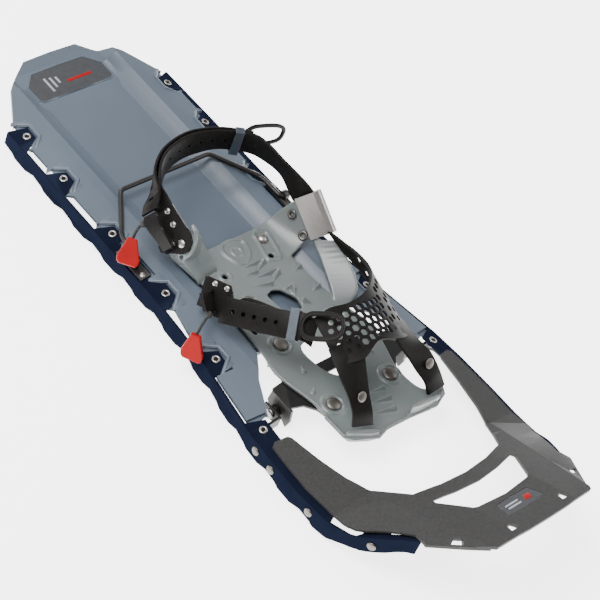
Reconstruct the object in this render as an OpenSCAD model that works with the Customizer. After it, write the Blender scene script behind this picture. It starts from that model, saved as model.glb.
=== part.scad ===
// One snowshoe for the right foot: a moulded deck on two toothed steel rails,
// an upturned nose cap, a hinged toe binding with its crampon, and a wire heel lifter.
// Frame: +X is the wearer's right, +Y points to the toe, +Z is up, the rail teeth stand on Z = 0.

/* [Overall] */
// Length from tail to nose
overall_len = 559; // [557:1:561]
// Height of the rail bend above the tooth tips
bend_z = 15.2; // [15:0.1:15.4]
// Slope of the rail flange and of the deck shelf, in degrees
flange_slope = 12.7; // [12.5:0.1:12.9]

/* [Deck] */
// Half width of the flat heel floor
floor_x = 42.4; // [42:0.2:43]
// Height of the heel floor
floor_z = 15; // [14.8:0.1:15.2]
// Half width at the crest of the ridge
crest_x = 50.2; // [50:0.2:51]
// Height of the crest
crest_z = 22.5; // [22.2:0.1:22.8]
// Half width where the ridge meets the shelf
shelf_x = 58.9; // [58.5:0.1:59.5]
// Wall thickness of the deck
deck_t = 2.6; // [2.4:0.1:2.8]

/* [Rails] */
// Thickness of the rail steel
rail_t = 1.6; // [1.5:0.1:1.7]
// Length of one tooth of the rail
tooth_pitch = 38; // [36:1:40]
// Depth of the notch between two rail teeth
tooth_depth = 3.6; // [3:0.2:4]
// Outer radius of a deck eyelet's flange
eyelet_r = 3.4; // [3.2:0.1:3.5]

/* [Nose] */
// Wall thickness of the nose cap
nose_t = 3.6; // [3.4:0.1:3.8]
// Rise of the nose panel for each millimetre forward
nose_rise = 0.47; // [0.46:0.01:0.48]

/* [Binding] */
// Height of the pivot pins
pivot_z = 8; // [7.8:0.1:8.2]
// Distance of the pivot pins in front of mid length
pivot_y = 83; // [82.5:0.5:83.5]
// Radius of a pivot pin
pin_r = 2.5; // [2.4:0.1:2.6]
// Top of the crampon plate
crampon_z = 19.5; // [19.3:0.1:19.6]
// Thickness of the crampon steel
crampon_t = 2; // [1.8:0.1:2.2]
// Top of the cradle plate
cradle_z = 22.7; // [22.6:0.1:23]
// Thickness of the straps
strap_t = 2.4; // [2.2:0.1:2.6]
// Width of the straps
strap_w = 20; // [19:0.5:20.5]

/* [Heel lifter] */
// Radius of the lifter's wire
wire_r = 1.9; // [1.8:0.1:2]
// Half width between the lifter's pivots
lifter_x = 73; // [72.5:0.5:73.5]
// Position of the lifter's pivots along the length
lifter_y = -71; // [-71.5:0.5:-70.5]
// Height of the lifter's pivots
lifter_z = 21; // [20.8:0.1:21.2]

/* [Hidden] */
$fn = 32;

half_len = overall_len / 2;
slope = tan(flange_slope);

// Rail bend line on the +X side: x, y, z from tail to nose
BEND = [[81, -224, 15.2], [82, -150, 15.2], [82, -38, 15.2], [84.3, 0, 15.2], [87.7, 28, 15.2],
        [93, 60, 15.2], [97.8, 90, 15.2], [100, 117, 15.2], [101, 152, 15.2],
        [99.6, 180, 16.6], [98, 193, 19.5], [94.5, 203, 24], [89, 216, 34],
        [82, 227, 42], [75, 239, 49]];

// Eyelet centres along the length, and the flange around them: y, inner width of the flange
EYELET_Y = [-212.3, -164.1, -102.1, -37.6, 28.1, 95.4];
FLANGE = [[-224, 1.7], [-219, 15], [-208, 15], [-203, 7], [-200, 1.7],
          [-175, 1.7], [-168, 15], [-158, 15], [-153, 7], [-151, 1.7],
          [-114, 1.7], [-107, 15], [-97, 15], [-92, 9], [-88, 12], [-58, 12], [-54, 8],
          [-49, 13.5], [-43, 15], [-32, 15], [-27, 8], [-25, 1.7],
          [17, 1.7], [23, 15], [33, 15], [39, 8], [41, 1.7],
          [84, 1.7], [88, 16], [120, 16], [170, 14], [178, 12], [182, 1.7],
          [202, 1.7], [206, 7], [236, 7], [239, 4]];

function lerp(a, b, t) = a + (b - a) * t;
function unit(v) = v / norm(v);

// Value at y of a table of [key, value] or [x, key, z] rows that rises in its key column
function seg(table, y, k, i = 0) =
    (i >= len(table) - 2 || y <= table[i + 1][k]) ? i : seg(table, y, k, i + 1);
function frac(table, y, k, i) = (y - table[i][k]) / (table[i + 1][k] - table[i][k]);
function bend_at(y) =
    let (i = seg(BEND, y, 1)) lerp(BEND[i], BEND[i + 1], frac(BEND, y, 1, i));
function table_at(table, y) =
    let (i = seg(table, y, 0)) lerp(table[i][1], table[i + 1][1], frac(table, y, 0, i));

// Unit vector along the bend line, and the level one at right angles that points inboard
function along_at(y) = unit(bend_at(y + 2) - bend_at(y - 2));
function inboard_at(y) = let (a = along_at(y)) unit([-a[1], a[0], 0]);

// Height of the rail's flange top at x, y
function flange_top(x, y) = let (b = bend_at(y)) b[2] + (b[0] - abs(x)) * slope;

// Closed solid through a list of rings with the same number of points, whichever way the rings turn
function turn(r, k = 1) =
    k > len(r) - 2 ? [0, 0, 0] : cross(r[k] - r[0], r[k + 1] - r[0]) + turn(r, k + 1);
function ring_mid(r, k = 0) = k == len(r) ? [0, 0, 0] : r[k] / len(r) + ring_mid(r, k + 1);
module loft(list) {
    forward = turn(list[0]) * (ring_mid(list[1]) - ring_mid(list[0])) < 0;
    rings = forward ? list : [for (r = list) [for (k = [len(r) - 1:-1:0]) r[k]]];
    n = len(rings[0]);
    m = len(rings);
    quads = [for (i = [0:m - 2]) for (j = [0:n - 1])
             [i * n + j, i * n + (j + 1) % n, (i + 1) * n + (j + 1) % n, (i + 1) * n + j]];
    sides = [for (q = quads) for (f = [[q[0], q[1], q[2]], [q[0], q[2], q[3]]]) f];
    first = [for (j = [1:n - 2]) [0, j + 1, j]];
    last = [for (j = [1:n - 2]) [(m - 1) * n, (m - 1) * n + j, (m - 1) * n + j + 1]];
    polyhedron([for (r = rings) for (p = r) p], concat(sides, first, last), convexity = 8);
}

// Flat strap along centre points: each row is [centre, half width vector], t is the thickness
function tangent(rows, i) =
    unit(rows[min(i + 1, len(rows) - 1)][0] - rows[max(i - 1, 0)][0]);
function strap_ring(c, w, n) = [c + w + n, c - w + n, c - w - n, c + w - n];
function strap_rings(rows, t) =
    [for (i = [0:len(rows) - 1])
     strap_ring(rows[i][0], rows[i][1], t / 2 * unit(cross(tangent(rows, i), rows[i][1])))];
module strap(rows, t) { loft(strap_rings(rows, t)); }

// Round tube along hand-placed points
function side_of(t) = unit(cross(t, abs(t[2]) > 0.9 ? [1, 0, 0] : [0, 0, 1]));
function tube_ring(p, t, r, n) =
    let (u = side_of(t), v = cross(t, u))
    [for (k = [0:n - 1]) p + r * (cos(360 * k / n) * u + sin(360 * k / n) * v)];
module tube(points, r, n = 8) {
    last = len(points) - 1;
    loft([for (i = [0:last])
          tube_ring(points[i],
                    unit(points[min(i + 1, last)] - points[max(i - 1, 0)]), r, n)]);
}

module mirror_pair() {
    children();
    mirror([1, 0, 0]) children();
}

// Places children on the flange at y, a distance in from the bend, tipped to the flange
module on_flange(y, inset) {
    b = bend_at(y);
    n = inboard_at(y);
    translate([b[0] + n[0] * inset, b[1] + n[1] * inset, b[2] + inset * slope])
        rotate([0, flange_slope, 0]) children();
}

// Tubular rivet: a shank with a rolled head on top, and a flat foot below
module tubular_rivet(head_r, shank_r, head_h, grip, bore_r) {
    rotate_extrude($fn = 32)
        polygon([[bore_r, -grip - 0.6], [head_r * 0.85, -grip - 0.6], [head_r * 0.85, -grip],
                 [shank_r, -grip], [shank_r, 0], [head_r, 0], [head_r * 0.9, head_h * 0.7],
                 [head_r * 0.72, head_h], [bore_r + 0.3, head_h * 0.7], [bore_r, 0]]);
}

// Domed rivet: a low dome on a shank
module domed_rivet(head_r, dome_h, shank_r, grip) {
    rotate_extrude($fn = 40)
        polygon(concat([[0, -grip], [shank_r, -grip], [shank_r, 0], [head_r, 0]],
                       [for (a = [10:16:90]) [head_r * cos(a), dome_h * sin(a) + 0.3]]));
}

// ---------------------------------------------------------------- deck

// Centre of the eyelet line at y, and the deck shelf's top at x, y
function eyelet_x(y) = y < -30 ? 72.4 : y < 28 ? 72.4 + (y + 30) * 0.0966 : 78 + (y - 28) * 0.163;
function shelf_top(x, y) = bend_z + 2.16 + 0.8 + (eyelet_x(y) - x) * slope;
function tail_lift(y) = max(0, (-y - 270) * 0.45);

function deck_profile(y) =
    let (up = tail_lift(y))
    [[0, floor_z + up], [floor_x, floor_z + up], [crest_x, crest_z],
     [shelf_x, shelf_top(shelf_x, y)], [101, shelf_top(101, y)]];
function deck_ring(y) =
    let (p = deck_profile(y), n = len(p) - 1)
    concat([for (i = [n:-1:1]) [-p[i][0], y, p[i][1]]], [for (q = p) [q[0], y, q[1]]],
           [for (i = [n:-1:0]) [p[i][0], y, p[i][1] - deck_t]],
           [for (i = [1:n]) [-p[i][0], y, p[i][1] - deck_t]]);

// Outer edge of the deck on the +X side: full width under each flange tab, set back between them
function edge_row(y, half, wide, narrow) =
    [[narrow, y - half - 4], [wide, y - half], [wide, y + half], [narrow, y + half + 4]];
DECK_EDGE = concat(
    [[0, -half_len], [26, -half_len + 0.6], [40, -269.5], [56, -255.4], [73, -228], [78.6, -219]],
    [[78.6, -203], [75.5, -198]],
    edge_row(-163, 13, 79.4, 75.5), edge_row(-102, 11, 79.4, 75.5), edge_row(-38, 12, 79.4, 75.5),
    [[84.2, 18], [85.6, 38], [87.5, 44], [94, 88], [94, 101]]);
// Front edge, from the rail back in to the heel floor
DECK_FRONT = [[86, 103], [80.5, 92], [71, 74], [65, 62], [54, 48], [48, 40], [0, 36]];

module deck_outline() {
    half = concat(DECK_EDGE, DECK_FRONT);
    polygon(concat(half, [for (i = [len(half) - 1:-1:0]) [-half[i][0], half[i][1]]]));
}

// Sunken seat for one flange tab, cut down to the underside of the flange
function seat_ring(y, inner) =
    let (b = bend_at(y), n = inboard_at(y), under = [0, 0, -rail_t - 0.15],
         low = b - 12 * n + under - [0, 0, 12 * slope], high = b + inner * n + under + [0, 0, inner * slope])
    [low, high, high + [0, 0, 14], low + [0, 0, 14]];
module tab_seat(y, half, inner) {
    loft([for (s = [-half, 0, half]) seat_ring(y + s, inner)]);
}

module deck() {
    color("#77869a") difference() {
        intersection() {
            loft([for (y = [-half_len - 1, -270, -30, 28, 110]) deck_ring(y)]);
            translate([0, 0, -5]) linear_extrude(60) deck_outline();
        }
        mirror_pair() {
            tab_seat(-213, 12, 16.5);
            tab_seat(-163, 13, 16.5);
            tab_seat(-102, 14, 16.5);
            tab_seat(-73, 20, 13.5);
            tab_seat(-38, 16, 16.5);
            tab_seat(28.1, 13, 16.5);
            tab_seat(99, 16, 18);
            for (y = EYELET_Y) on_flange(y, 9.8) cylinder(h = 20, r = 2.3, center = true);
        }
        translate([0, -253, floor_z - 1]) linear_extrude(3) tail_badge_outline(0.2);
    }
}

// ---------------------------------------------------------------- rails

// Bottom edge of the blade: each tooth is a hump with a stepped foot
function tooth_z(s) =
    let (u = s - floor(s))
    tooth_depth * (u < 0.28 ? 1 - u / 0.28 * 0.4 : u < 0.4 ? (0.4 - u) / 0.12 * 0.6 :
                   u < 0.75 ? 0 : (u - 0.75) / 0.25);
TOOTH_STEPS = [0, 0.28, 0.4, 0.75];
function rail_stations() =
    [for (k = [0:11]) for (s = TOOTH_STEPS) let (y = -224 + (k + s) * tooth_pitch) if (y < 194) y];
// Foot of the blade: on the ground along the deck, and rising with the nose
function blade_foot(y) =
    y < 176 ? tooth_z((y + 224) / tooth_pitch) :
    tooth_z((y + 224) / tooth_pitch) + (bend_at(y)[2] - bend_z) * 0.95;

BLADE_END = [198, 208, 213, 218, 223, 228, 233, 238.5];
function sorted(v) =
    len(v) < 2 ? v : concat(sorted([for (x = v) if (x < v[0]) x]), [v[0]],
                            sorted([for (x = v) if (x > v[0]) x]));

// L section of the rail: flange leaning inboard, blade standing down
function rail_ring(y) =
    let (b = bend_at(y), n = inboard_at(y), w = table_at(FLANGE, y), foot = blade_foot(y),
         lean = y > 190 ? -0.35 : slope, e = b + n * w + [0, 0, w * lean], inner = b + n * rail_t)
    [[inner[0], inner[1], b[2] + (lean - 1) * rail_t], e - [0, 0, rail_t], e, b,
     [b[0], b[1], foot], [inner[0], inner[1], foot]];

module rail() {
    difference() {
        loft([for (y = sorted(concat(rail_stations(), BLADE_END, [for (f = FLANGE) f[0]])))
              if (y < 238.6) rail_ring(y)]);
        for (y = EYELET_Y) on_flange(y, 9.8) cylinder(h = 20, r = 2.3, center = true);
        for (y = concat(RAIL_RIVET_Y, BRACKET_RIVET_Y))
            at_blade(y) cylinder(h = 30, r = 1.6, center = true);
        for (y = LIFTER_RIVET_Y) on_flange(y, 5) cylinder(h = 12, r = 1.3, center = true);
    }
}

module left_rail() { color("#2b3350") mirror([1, 0, 0]) rail(); }
module right_rail() { color("#2b3350") rail(); }

// Rivet places on the blade: axis along the blade's outward normal
RAIL_RIVET_Y = [164, 214];
BRACKET_RIVET_Y = [104, 122];
function rivet_drop(y) = y > 200 ? 9 : 7;
module at_blade(y) {
    b = bend_at(y);
    n = inboard_at(y);
    translate([b[0], b[1], b[2] - rivet_drop(y)])
        rotate([0, 0, atan2(-n[1], -n[0])]) rotate([0, 90, 0]) children();
}

module rail_rivets() {
    color("#b8b4ae") mirror_pair()
        for (y = RAIL_RIVET_Y) at_blade(y) domed_rivet(3.6, 1.5, 1.5, rail_t + 3);
}

module deck_eyelets() {
    color("#c9c4bb") mirror_pair()
        for (y = EYELET_Y) on_flange(y, 9.8) translate([0, 0, 0.15])
            tubular_rivet(eyelet_r, 2.2, 0.8, rail_t + deck_t + 0.4, 1.35);
}

// ---------------------------------------------------------------- nose cap

// Half outline of the nose cap, and its cut-out
NOSE_OUTER = [[0, half_len], [20, half_len - 0.2], [48.9, 277.5], [76, 243], [74, 232],
              [84, 212], [91.5, 199], [93.6, 190], [94, 172], [95.2, 152], [94.4, 130], [93.1, 112]];
NOSE_INNER = [[90, 109.5], [80, 111.5], [78.2, 114], [74, 138], [68.3, 162], [62, 178],
              [53.5, 191], [45.5, 202.4], [24, 207.6], [0, 209.6]];
NOSE_CUTOUT = [[0, 222], [22, 220], [41.2, 216], [42, 219], [29, 239.5], [26, 241], [0, 243.5]];

function both_sides(half) = concat(half, [for (i = [len(half) - 1:-1:0]) [-half[i][0], half[i][1]]]);

// Height of the nose's top at its panel, at its crease and at its rim
function panel_top(y) = 48.5 + nose_rise * (y - 216.5);
function crease_x(y) = 63.5 - (y - 185) * 0.137;
function crease_top(y) = y < 185 ? flange_top(crease_x(y), y) + 2.9
                                 : lerp(30.5, 70.5, (y - 185) / 84);
function rim_x(y) = y < 239 ? bend_at(y)[0] - 4 : 71 - (y - 239) * 0.5;
function rim_top(y) = y < 239 ? bend_at(y)[2] + 3.6 : 52.6 + (y - 239) * 0.5;
function nose_profile(y) =
    y < 185 ? [[0, crease_top(y)], [30, crease_top(y)], [crease_x(y), crease_top(y)],
               [rim_x(y), rim_top(y)], [rim_x(y) + 8, rim_top(y) - 8 * slope]]
            : [[0, panel_top(y)], [30, panel_top(y)], [crease_x(y), crease_top(y)],
               [rim_x(y), rim_top(y)], [rim_x(y) + 8, rim_top(y) - 3]];
function nose_ring(y) =
    let (p = nose_profile(y), n = len(p) - 1, t = y < 240 ? 2.3 : nose_t)
    concat([for (i = [n:-1:1]) [-p[i][0], y, p[i][1]]], [for (q = p) [q[0], y, q[1]]],
           [for (i = [n:-1:0]) [p[i][0], y, p[i][1] - t]],
           [for (i = [1:n]) [-p[i][0], y, p[i][1] - t]]);

// Hook under the rail that takes the blade rivets: a plate inside the blade, a shelf under the
// flange and a web up to the panel. Each box is [inset low, inset high, z low, z high, slope]
function hook_ring(y, box) =
    let (b = bend_at(y), n = inboard_at(y), p = b + n * box[0], q = b + n * box[1],
         rise = (box[1] - box[0]) * box[4])
    [p + [0, 0, box[3]], q + [0, 0, box[3] + rise], q + [0, 0, box[2] + rise], p + [0, 0, box[2]]];
module nose_hook(stations, boxes) {
    for (box = boxes) loft([for (y = stations) hook_ring(y, box)]);
}
ARM_HOOK = [[1.9, 4.9, -12, -1.8, 0], [4, 18.5, -3.4, -1.1, 0.2254], [16, 18.5, 0.5, 5, 0]];
TIP_HOOK = [[1.9, 4.9, -12, -3.9, 0], [4, 10.8, -6.6, -4.4, 0], [8.2, 10.8, -6, 1, 0]];

module nose_cap() {
    color("#4b4947") {
        difference() {
            intersection() {
                loft([for (y = [100, 152, 180, 193, 203, 216, 227, 239, 262, 282]) nose_ring(y)]);
                translate([0, 0, -5]) linear_extrude(120) difference() {
                    polygon(both_sides(concat(NOSE_OUTER, NOSE_INNER)));
                    polygon(both_sides(NOSE_CUTOUT));
                }
            }
            mirror_pair() for (p = NOTCHES)
                translate([p[0], p[1], 40]) rotate([0, 0, p[2]]) linear_extrude(60)
                    polygon([[-4, 0], [-2.6, -5.5], [2.6, -5.5], [4, 0]]);
            nose_badge_place(-1) linear_extrude(6) nose_badge_outline(0.2);
        }
        difference() {
            mirror_pair() {
                nose_hook([146, 152, 172], ARM_HOOK);
                nose_hook([205, 208, 213, 216, 218, 222], TIP_HOOK);
            }
            mirror_pair() for (y = RAIL_RIVET_Y) at_blade(y) cylinder(h = 30, r = 1.6, center = true);
        }
    }
}
// Drain notches in the nose rim: x, y, turn
NOTCHES = [[26.6, 273, 0], [63, 257, -52]];

module nose_badge_outline(grow) {
    offset(delta = grow) polygon(both_sides([[0, -7.5], [15.5, -7], [18.5, 6.5], [0, 7.5]]));
}
module nose_badge_place(lift) {
    translate([0, 255, panel_top(255) + lift]) rotate([atan(nose_rise), 0, 0]) children();
}
module nose_badge() { color("#2c3036") nose_badge_place(-0.9) linear_extrude(0.8) nose_badge_outline(0); }

module tail_badge_outline(grow) {
    offset(delta = grow)
        polygon(both_sides([[0, 15], [34, 15], [37, 12], [37, -3], [26, -14.5], [0, -15]]));
}
module tail_badge() {
    color("#4a4d52") translate([0, -253, floor_z - 0.9]) linear_extrude(1.1) tail_badge_outline(0);
}

// ---------------------------------------------------------------- toe pivot

// Bent strip standing on edge: along the blade's inner face, across to the pivot, back past the pin
BRACKET_PATH = [[64.5, 75], [66.5, 75], [66.5, 90], [92, 92], [96.4, 96], [98.25, 117],
                [98.5, 127], [96.5, 127], [96.2, 117], [94.6, 98], [91, 94.2], [64.5, 92]];
module pivot_bracket() {
    difference() {
        translate([0, 0, 2.5]) linear_extrude(9.5) polygon(BRACKET_PATH);
        translate([60, pivot_y, pivot_z]) rotate([0, 90, 0]) cylinder(h = 10, r = pin_r);
        for (y = BRACKET_RIVET_Y) at_blade(y) cylinder(h = 30, r = 1.6, center = true);
    }
}
module bracket_rivets() {
    color("#b8b4ae") mirror_pair()
        for (y = BRACKET_RIVET_Y) at_blade(y) domed_rivet(3.6, 1.5, 1.55, rail_t + 2.4);
}
module left_pivot_bracket() { color("#4a464c") mirror([1, 0, 0]) pivot_bracket(); }
module right_pivot_bracket() { color("#4a464c") pivot_bracket(); }

module pivot_pins() {
    color("#c4c2be") mirror_pair() translate([0, pivot_y, pivot_z]) rotate([0, 90, 0]) {
        translate([0, 0, 55]) cylinder(h = 13, r = pin_r);
        translate([0, 0, 66.5]) cylinder(h = 1.6, r = 3.8);
        translate([0, 0, 55]) cylinder(h = 1, r = 3.6);
    }
}

module pivot_bushes() {
    color("#202124") mirror_pair() translate([0, pivot_y, pivot_z]) rotate([0, 90, 0])
        rotate_extrude($fn = 48)
            polygon([[pin_r + 0.06, 56.3], [4.8, 56.3], [4.8, 58.2], [3.6, 58.2], [3.6, 60.8],
                     [4.8, 60.8], [4.8, 64.2], [pin_r + 0.06, 64.2]]);
}

// ---------------------------------------------------------------- heel lifter

LIFTER_RIVET_Y = [-84, -59];
module lifter_bracket() {
    difference() {
        union() {
            on_flange(-71.5, 0) translate([-10.5, -15.5, 0.1]) cube([9, 31, 1.5]);
            translate([75.2, lifter_y, lifter_z]) rotate([0, 90, 0]) cylinder(h = 4, r = 3.8);
            translate([75.2, lifter_y - 3.8, 17.6]) cube([4, 7.6, lifter_z - 17.6]);
        }
        translate([70, lifter_y, lifter_z]) rotate([0, 90, 0]) cylinder(h = 16, r = wire_r + 0.06);
        for (y = LIFTER_RIVET_Y) on_flange(y, 5) cylinder(h = 12, r = 1.3, center = true);
    }
}
module left_lifter_bracket() { color("#1c1d20") mirror([1, 0, 0]) lifter_bracket(); }
module right_lifter_bracket() { color("#1c1d20") lifter_bracket(); }

module lifter_rivets() {
    color("#b8b4ae") mirror_pair() for (y = LIFTER_RIVET_Y)
        on_flange(y, 5) translate([0, 0, 1.7]) domed_rivet(2.2, 0.9, 1.2, rail_t + 1.6);
}

// Wire bail: axle stub, leg, splayed shoulder and crossbar
LIFTER_HALF = [[0, -130, 25.6], [42, -130, 25.6], [45, -129.2, 25.5], [47.5, -126.5, 25.3],
               [69.5, -96.5, 22.2], [71, -93, 22], [71.6, -89, 21.9], [72.6, -75, 21.1],
               [lifter_x, lifter_y - 1.6, lifter_z], [lifter_x + 1.5, lifter_y, lifter_z],
               [lifter_x + 3.4, lifter_y, lifter_z]];
module heel_lifter() {
    color("#26221f") {
        tube(concat([for (i = [len(LIFTER_HALF) - 1:-1:1]) flip_x(LIFTER_HALF[i])], LIFTER_HALF),
             wire_r, 16);
        mirror_pair() translate([76, lifter_y, lifter_z]) rotate([0, 90, 0])
            cylinder(h = 3.2, r = wire_r);
    }
}
function flip_x(p) = [-p[0], p[1], p[2]];

// ---------------------------------------------------------------- crampon

CRAMPON_HALF = [[0, 70], [24, 70], [20, 46], [22, 41], [35, 41], [38, 58], [46, 70], [58.6, 71.5],
                [58.6, 92], [48, 95], [41, 103], [38, 116], [34, 121], [0, 121]];
CRAMPON_WINDOW = [[0, 80], [20, 80], [23, 96], [17, 101], [0, 101]];
CRAMPON_RIVETS = [[28.5, 44.6], [29.5, 106.4]];

// Side plate seen along X: points are y, z
module side_plate(x, thick, outline) {
    translate([x, 0, 0]) rotate([90, 0, 90]) linear_extrude(thick) polygon(outline);
}
module crampon() {
    low = crampon_z - crampon_t;
    color("#1d1c1c") difference() {
        union() {
            translate([0, 0, low]) linear_extrude(crampon_t) difference() {
                polygon(both_sides(CRAMPON_HALF));
                polygon(both_sides(CRAMPON_WINDOW));
            }
            mirror_pair() {
                side_plate(58.4, 2, [[73, crampon_z], [95, crampon_z], [97, 9], [95, 1.5], [90, 4.5],
                                     [86, 1], [78, 2.5], [72, 9]]);
                side_plate(33, 2, [[43, low + 0.5], [66, low + 0.5], [66, 8], [62, 1.5], [58, 6],
                                   [54, 1], [50, 6], [46, 1], [43, 8]]);
            }
            translate([0, 121, 0]) rotate([90, 0, 0]) linear_extrude(2)
                polygon(both_sides([[0, low + 0.5], [34, low + 0.5], [33, 9], [27, 1], [20, 9],
                                    [14, 10], [9, 2], [3, 9], [0, 9]]));
        }
        mirror_pair() {
            translate([50, pivot_y, pivot_z]) rotate([0, 90, 0]) cylinder(h = 12, r = 3.62);
            for (p = CRAMPON_RIVETS) translate([p[0], p[1], 10]) cylinder(h = 15, r = 2.55);
        }
    }
}

// ---------------------------------------------------------------- cradle

CRADLE_PLATE = [[45.5, -54], [45, -26], [45, 11], [46, 36], [46.5, 48], [50, 58], [49, 73], [41, 100],
                [42.5, 115], [42.5, 135], [39, 138.5], [20, 147], [8, 142.5], [-15, 143.5], [-40, 147],
                [-55, 141], [-61, 133], [-45, 131], [-40, 122], [-39, 104], [-44, 90], [-49, 73],
                [-50, 56], [-46, 46], [-42, 28], [-38.5, 10], [-38.5, -20], [-39, -54]];
CRADLE_WINDOW = [[18, 55], [9, 50], [-6, 53], [-17, 62], [-14, 78], [-7, 90], [6, 90], [15, 78]];
HEX_WINDOW = [[6.3, 3], [-1.2, 0.5], [-7.5, 3.5], [-14, 15.5], [-11, 26], [4, 20]];
CRADLE_HOLES = [[23.8, -26.3, 2.2], [-23.8, -26.3, 2.2], [-27.6, -42, 1.6]];
CRADLE_SLOT = [38.3, 23.5];

// Heel buckle: its frame is along the strap, across it and out of its face
HEEL_X = unit([-0.14, -0.93, 0.34]);
HEEL_Y = unit(cross([0.86, 0.05, 0.5], HEEL_X));
HEEL_Z = cross(HEEL_X, HEEL_Y);
function in_heel(p) = [52.9, -53.5, 46.4] + p[0] * HEEL_X + p[1] * HEEL_Y + p[2] * HEEL_Z;
module heel_buckle_place() {
    multmatrix([[HEEL_X[0], HEEL_Y[0], HEEL_Z[0], 52.9], [HEEL_X[1], HEEL_Y[1], HEEL_Z[1], -53.5],
                [HEEL_X[2], HEEL_Y[2], HEEL_Z[2], 46.4]]) children();
}

// Wing surfaces: outer edge rows from the plate up, each with a rear and a front point
RIGHT_WING = [[[-34, -54, 21.2], [-34, -18, 21.2]], [[-43, -54.5, 24.6], [-43, -19.5, 24.2]],
              [[-50, -52.5, 33], [-50.5, -21, 28]], [[-55.5, -47, 48], [-56, -20, 33]],
              [[-63, -39.5, 60], [-63, -13.5, 46]]];
LEFT_WING = [[[40, -54, 21.2], [38, -30, 21.2]], [[50, -55, 24.8], [46.5, -32, 24.4]],
             [[54.6, -61, 32], [51.5, -40, 31]], [in_heel([8, 10, -3.5]), in_heel([-7, 7, -3.5])],
             [in_heel([12, 0, -3.5]), in_heel([-9, -1, -3.5])],
             [in_heel([11, -8, -3.5]), in_heel([-5, -9, -3.5])]];
// Broad front of the left wing, from the plate up and in behind the buckle
LEFT_FRONT = [[[47.5, -46, 21.2], [26, -34, 21.2]], [[49, -47.5, 25], [27, -36, 25.6]],
              [[51.5, -49, 31], [29, -42, 31]], [[53.3, -49.5, 36.6], [32, -47, 38]],
              [[49, -46, 43], [35, -53, 46]], [[45.8, -46.5, 49.5], [38.2, -57, 52]],
              [[43.8, -51.5, 54], [41.8, -59.2, 57]]];
module wing(rows, t) {
    loft([for (i = [0:len(rows) - 1])
          let (r = rows[i], a = rows[max(i - 1, 0)], b = rows[min(i + 1, len(rows) - 1)],
               n = t / 2 * unit(cross(b[0] - a[0], r[1] - r[0])))
          [r[0] + n, r[1] + n, r[1] - n, r[0] - n]]);
}
BAND = [[[-59.7, -10, 38.6], [-4.6, 7.4, 4.8]], [[-56.5, 10, 32.5], [-7, 7, 4]],
        [[-50.5, 28, 27.2], [-7.4, 7.1, 2.5]], [[-42.5, 36, 21.4], [-4, 4, 0]]];
// Toe cup: low wall in front of each strap leg
module toe_lip(a, b, h) {
    translate([0, 0, cradle_z - 2.9]) linear_extrude(h) hull() {
        translate(a) circle(r = 1.8, $fn = 24);
        translate(b) circle(r = 1.8, $fn = 24);
    }
}

module cradle() {
    color("#97a3a6") difference() {
        union() {
            translate([0, 0, cradle_z - 3]) linear_extrude(3) difference() {
                polygon(CRADLE_PLATE);
                polygon(CRADLE_WINDOW);
                polygon(HEX_WINDOW);
            }
            translate([-36, -50, floor_z + 0.3]) cube([72, 30, cradle_z - 3 - floor_z]);
            wing(RIGHT_WING, 3);
            wing(LEFT_WING, 3);
            wing(LEFT_FRONT, 2.8);
            loft(strap_rings(BAND, 3));
            toe_lip([40.5, 134], [21, 144], 10);
            toe_lip([-17, 141.6], [-42, 144], 14);
        }
        mirror_pair() for (p = CRAMPON_RIVETS) translate([p[0], p[1], 10]) cylinder(h = 20, r = 2.55);
        for (p = CRADLE_HOLES) translate([p[0], p[1], 10]) cylinder(h = 20, r = p[2]);
        translate([CRADLE_SLOT[0] - 2, CRADLE_SLOT[1] - 5, 10]) cube([4, 10, 20]);
        for (p = WING_RIVETS) on_wing(p) cylinder(h = 12, r = 2.05, center = true);
        heel_buckle_place() cylinder(h = 14, r = 2.05, center = true);
    }
}

module crampon_rivets() {
    color("#9a948c") mirror_pair() for (p = CRAMPON_RIVETS)
        translate([p[0], p[1], cradle_z + 0.02]) domed_rivet(6, 1.9, 2.5, 8.2);
}
module crampon_washers() {
    color("#a9a6a0") mirror_pair() for (p = CRAMPON_RIVETS)
        translate([p[0], p[1], crampon_z - crampon_t - 1.5]) difference() {
            cylinder(h = 1.4, r = p[1] < 60 ? 4.2 : 5.2);
            translate([0, 0, -1]) cylinder(h = 4, r = 2.52);
        }
}

// Axis of the clip's inner face, and the two rivets under its edge
WING_RIVETS = [[-53.4, -41.5, 40, 71, 4], [-53.2, -25, 31.6, 54, 14]];
module on_wing(p) { translate([p[0], p[1], p[2]]) rotate([0, p[3], p[4]]) children(); }
module wing_rivets() {
    color("#c9c4bb") for (p = WING_RIVETS)
        on_wing(p) translate([0, 0, 2.5]) tubular_rivet(4, 2, 0.9, 4.9, 1.6);
}
module size_stud() {
    color("#8f9194") translate([CRADLE_HOLES[2][0], CRADLE_HOLES[2][1], cradle_z + 0.05])
        domed_rivet(4.6, 3.4, 1.55, 4);
}

// Folded clip over the right wing's edge; its frame is length, width and face normal
CLIP_LEN = unit([0, 0.83, -0.56]);
CLIP_FACE = unit([0.888, 0.26, 0.386]);
CLIP_WIDE = cross(CLIP_FACE, CLIP_LEN);
module clip_place() {
    c = [-61, -27.7, 49.1];
    multmatrix([[CLIP_LEN[0], CLIP_WIDE[0], CLIP_FACE[0], c[0]],
                [CLIP_LEN[1], CLIP_WIDE[1], CLIP_FACE[1], c[1]],
                [CLIP_LEN[2], CLIP_WIDE[2], CLIP_FACE[2], c[2]]]) children();
}
module strap_clip() {
    color("#b9b7b3") clip_place() rotate([90, 0, 90]) translate([0, 0, -17]) linear_extrude(34)
        difference() {
            union() {
                translate([-9.5, -5]) square([16, 10]);
                translate([6.5, 0]) circle(r = 5);
            }
            translate([-11, -4]) square([17.5, 8]);
            translate([6.5, 0]) circle(r = 4);
        }
}

// ---------------------------------------------------------------- heel strap

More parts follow.
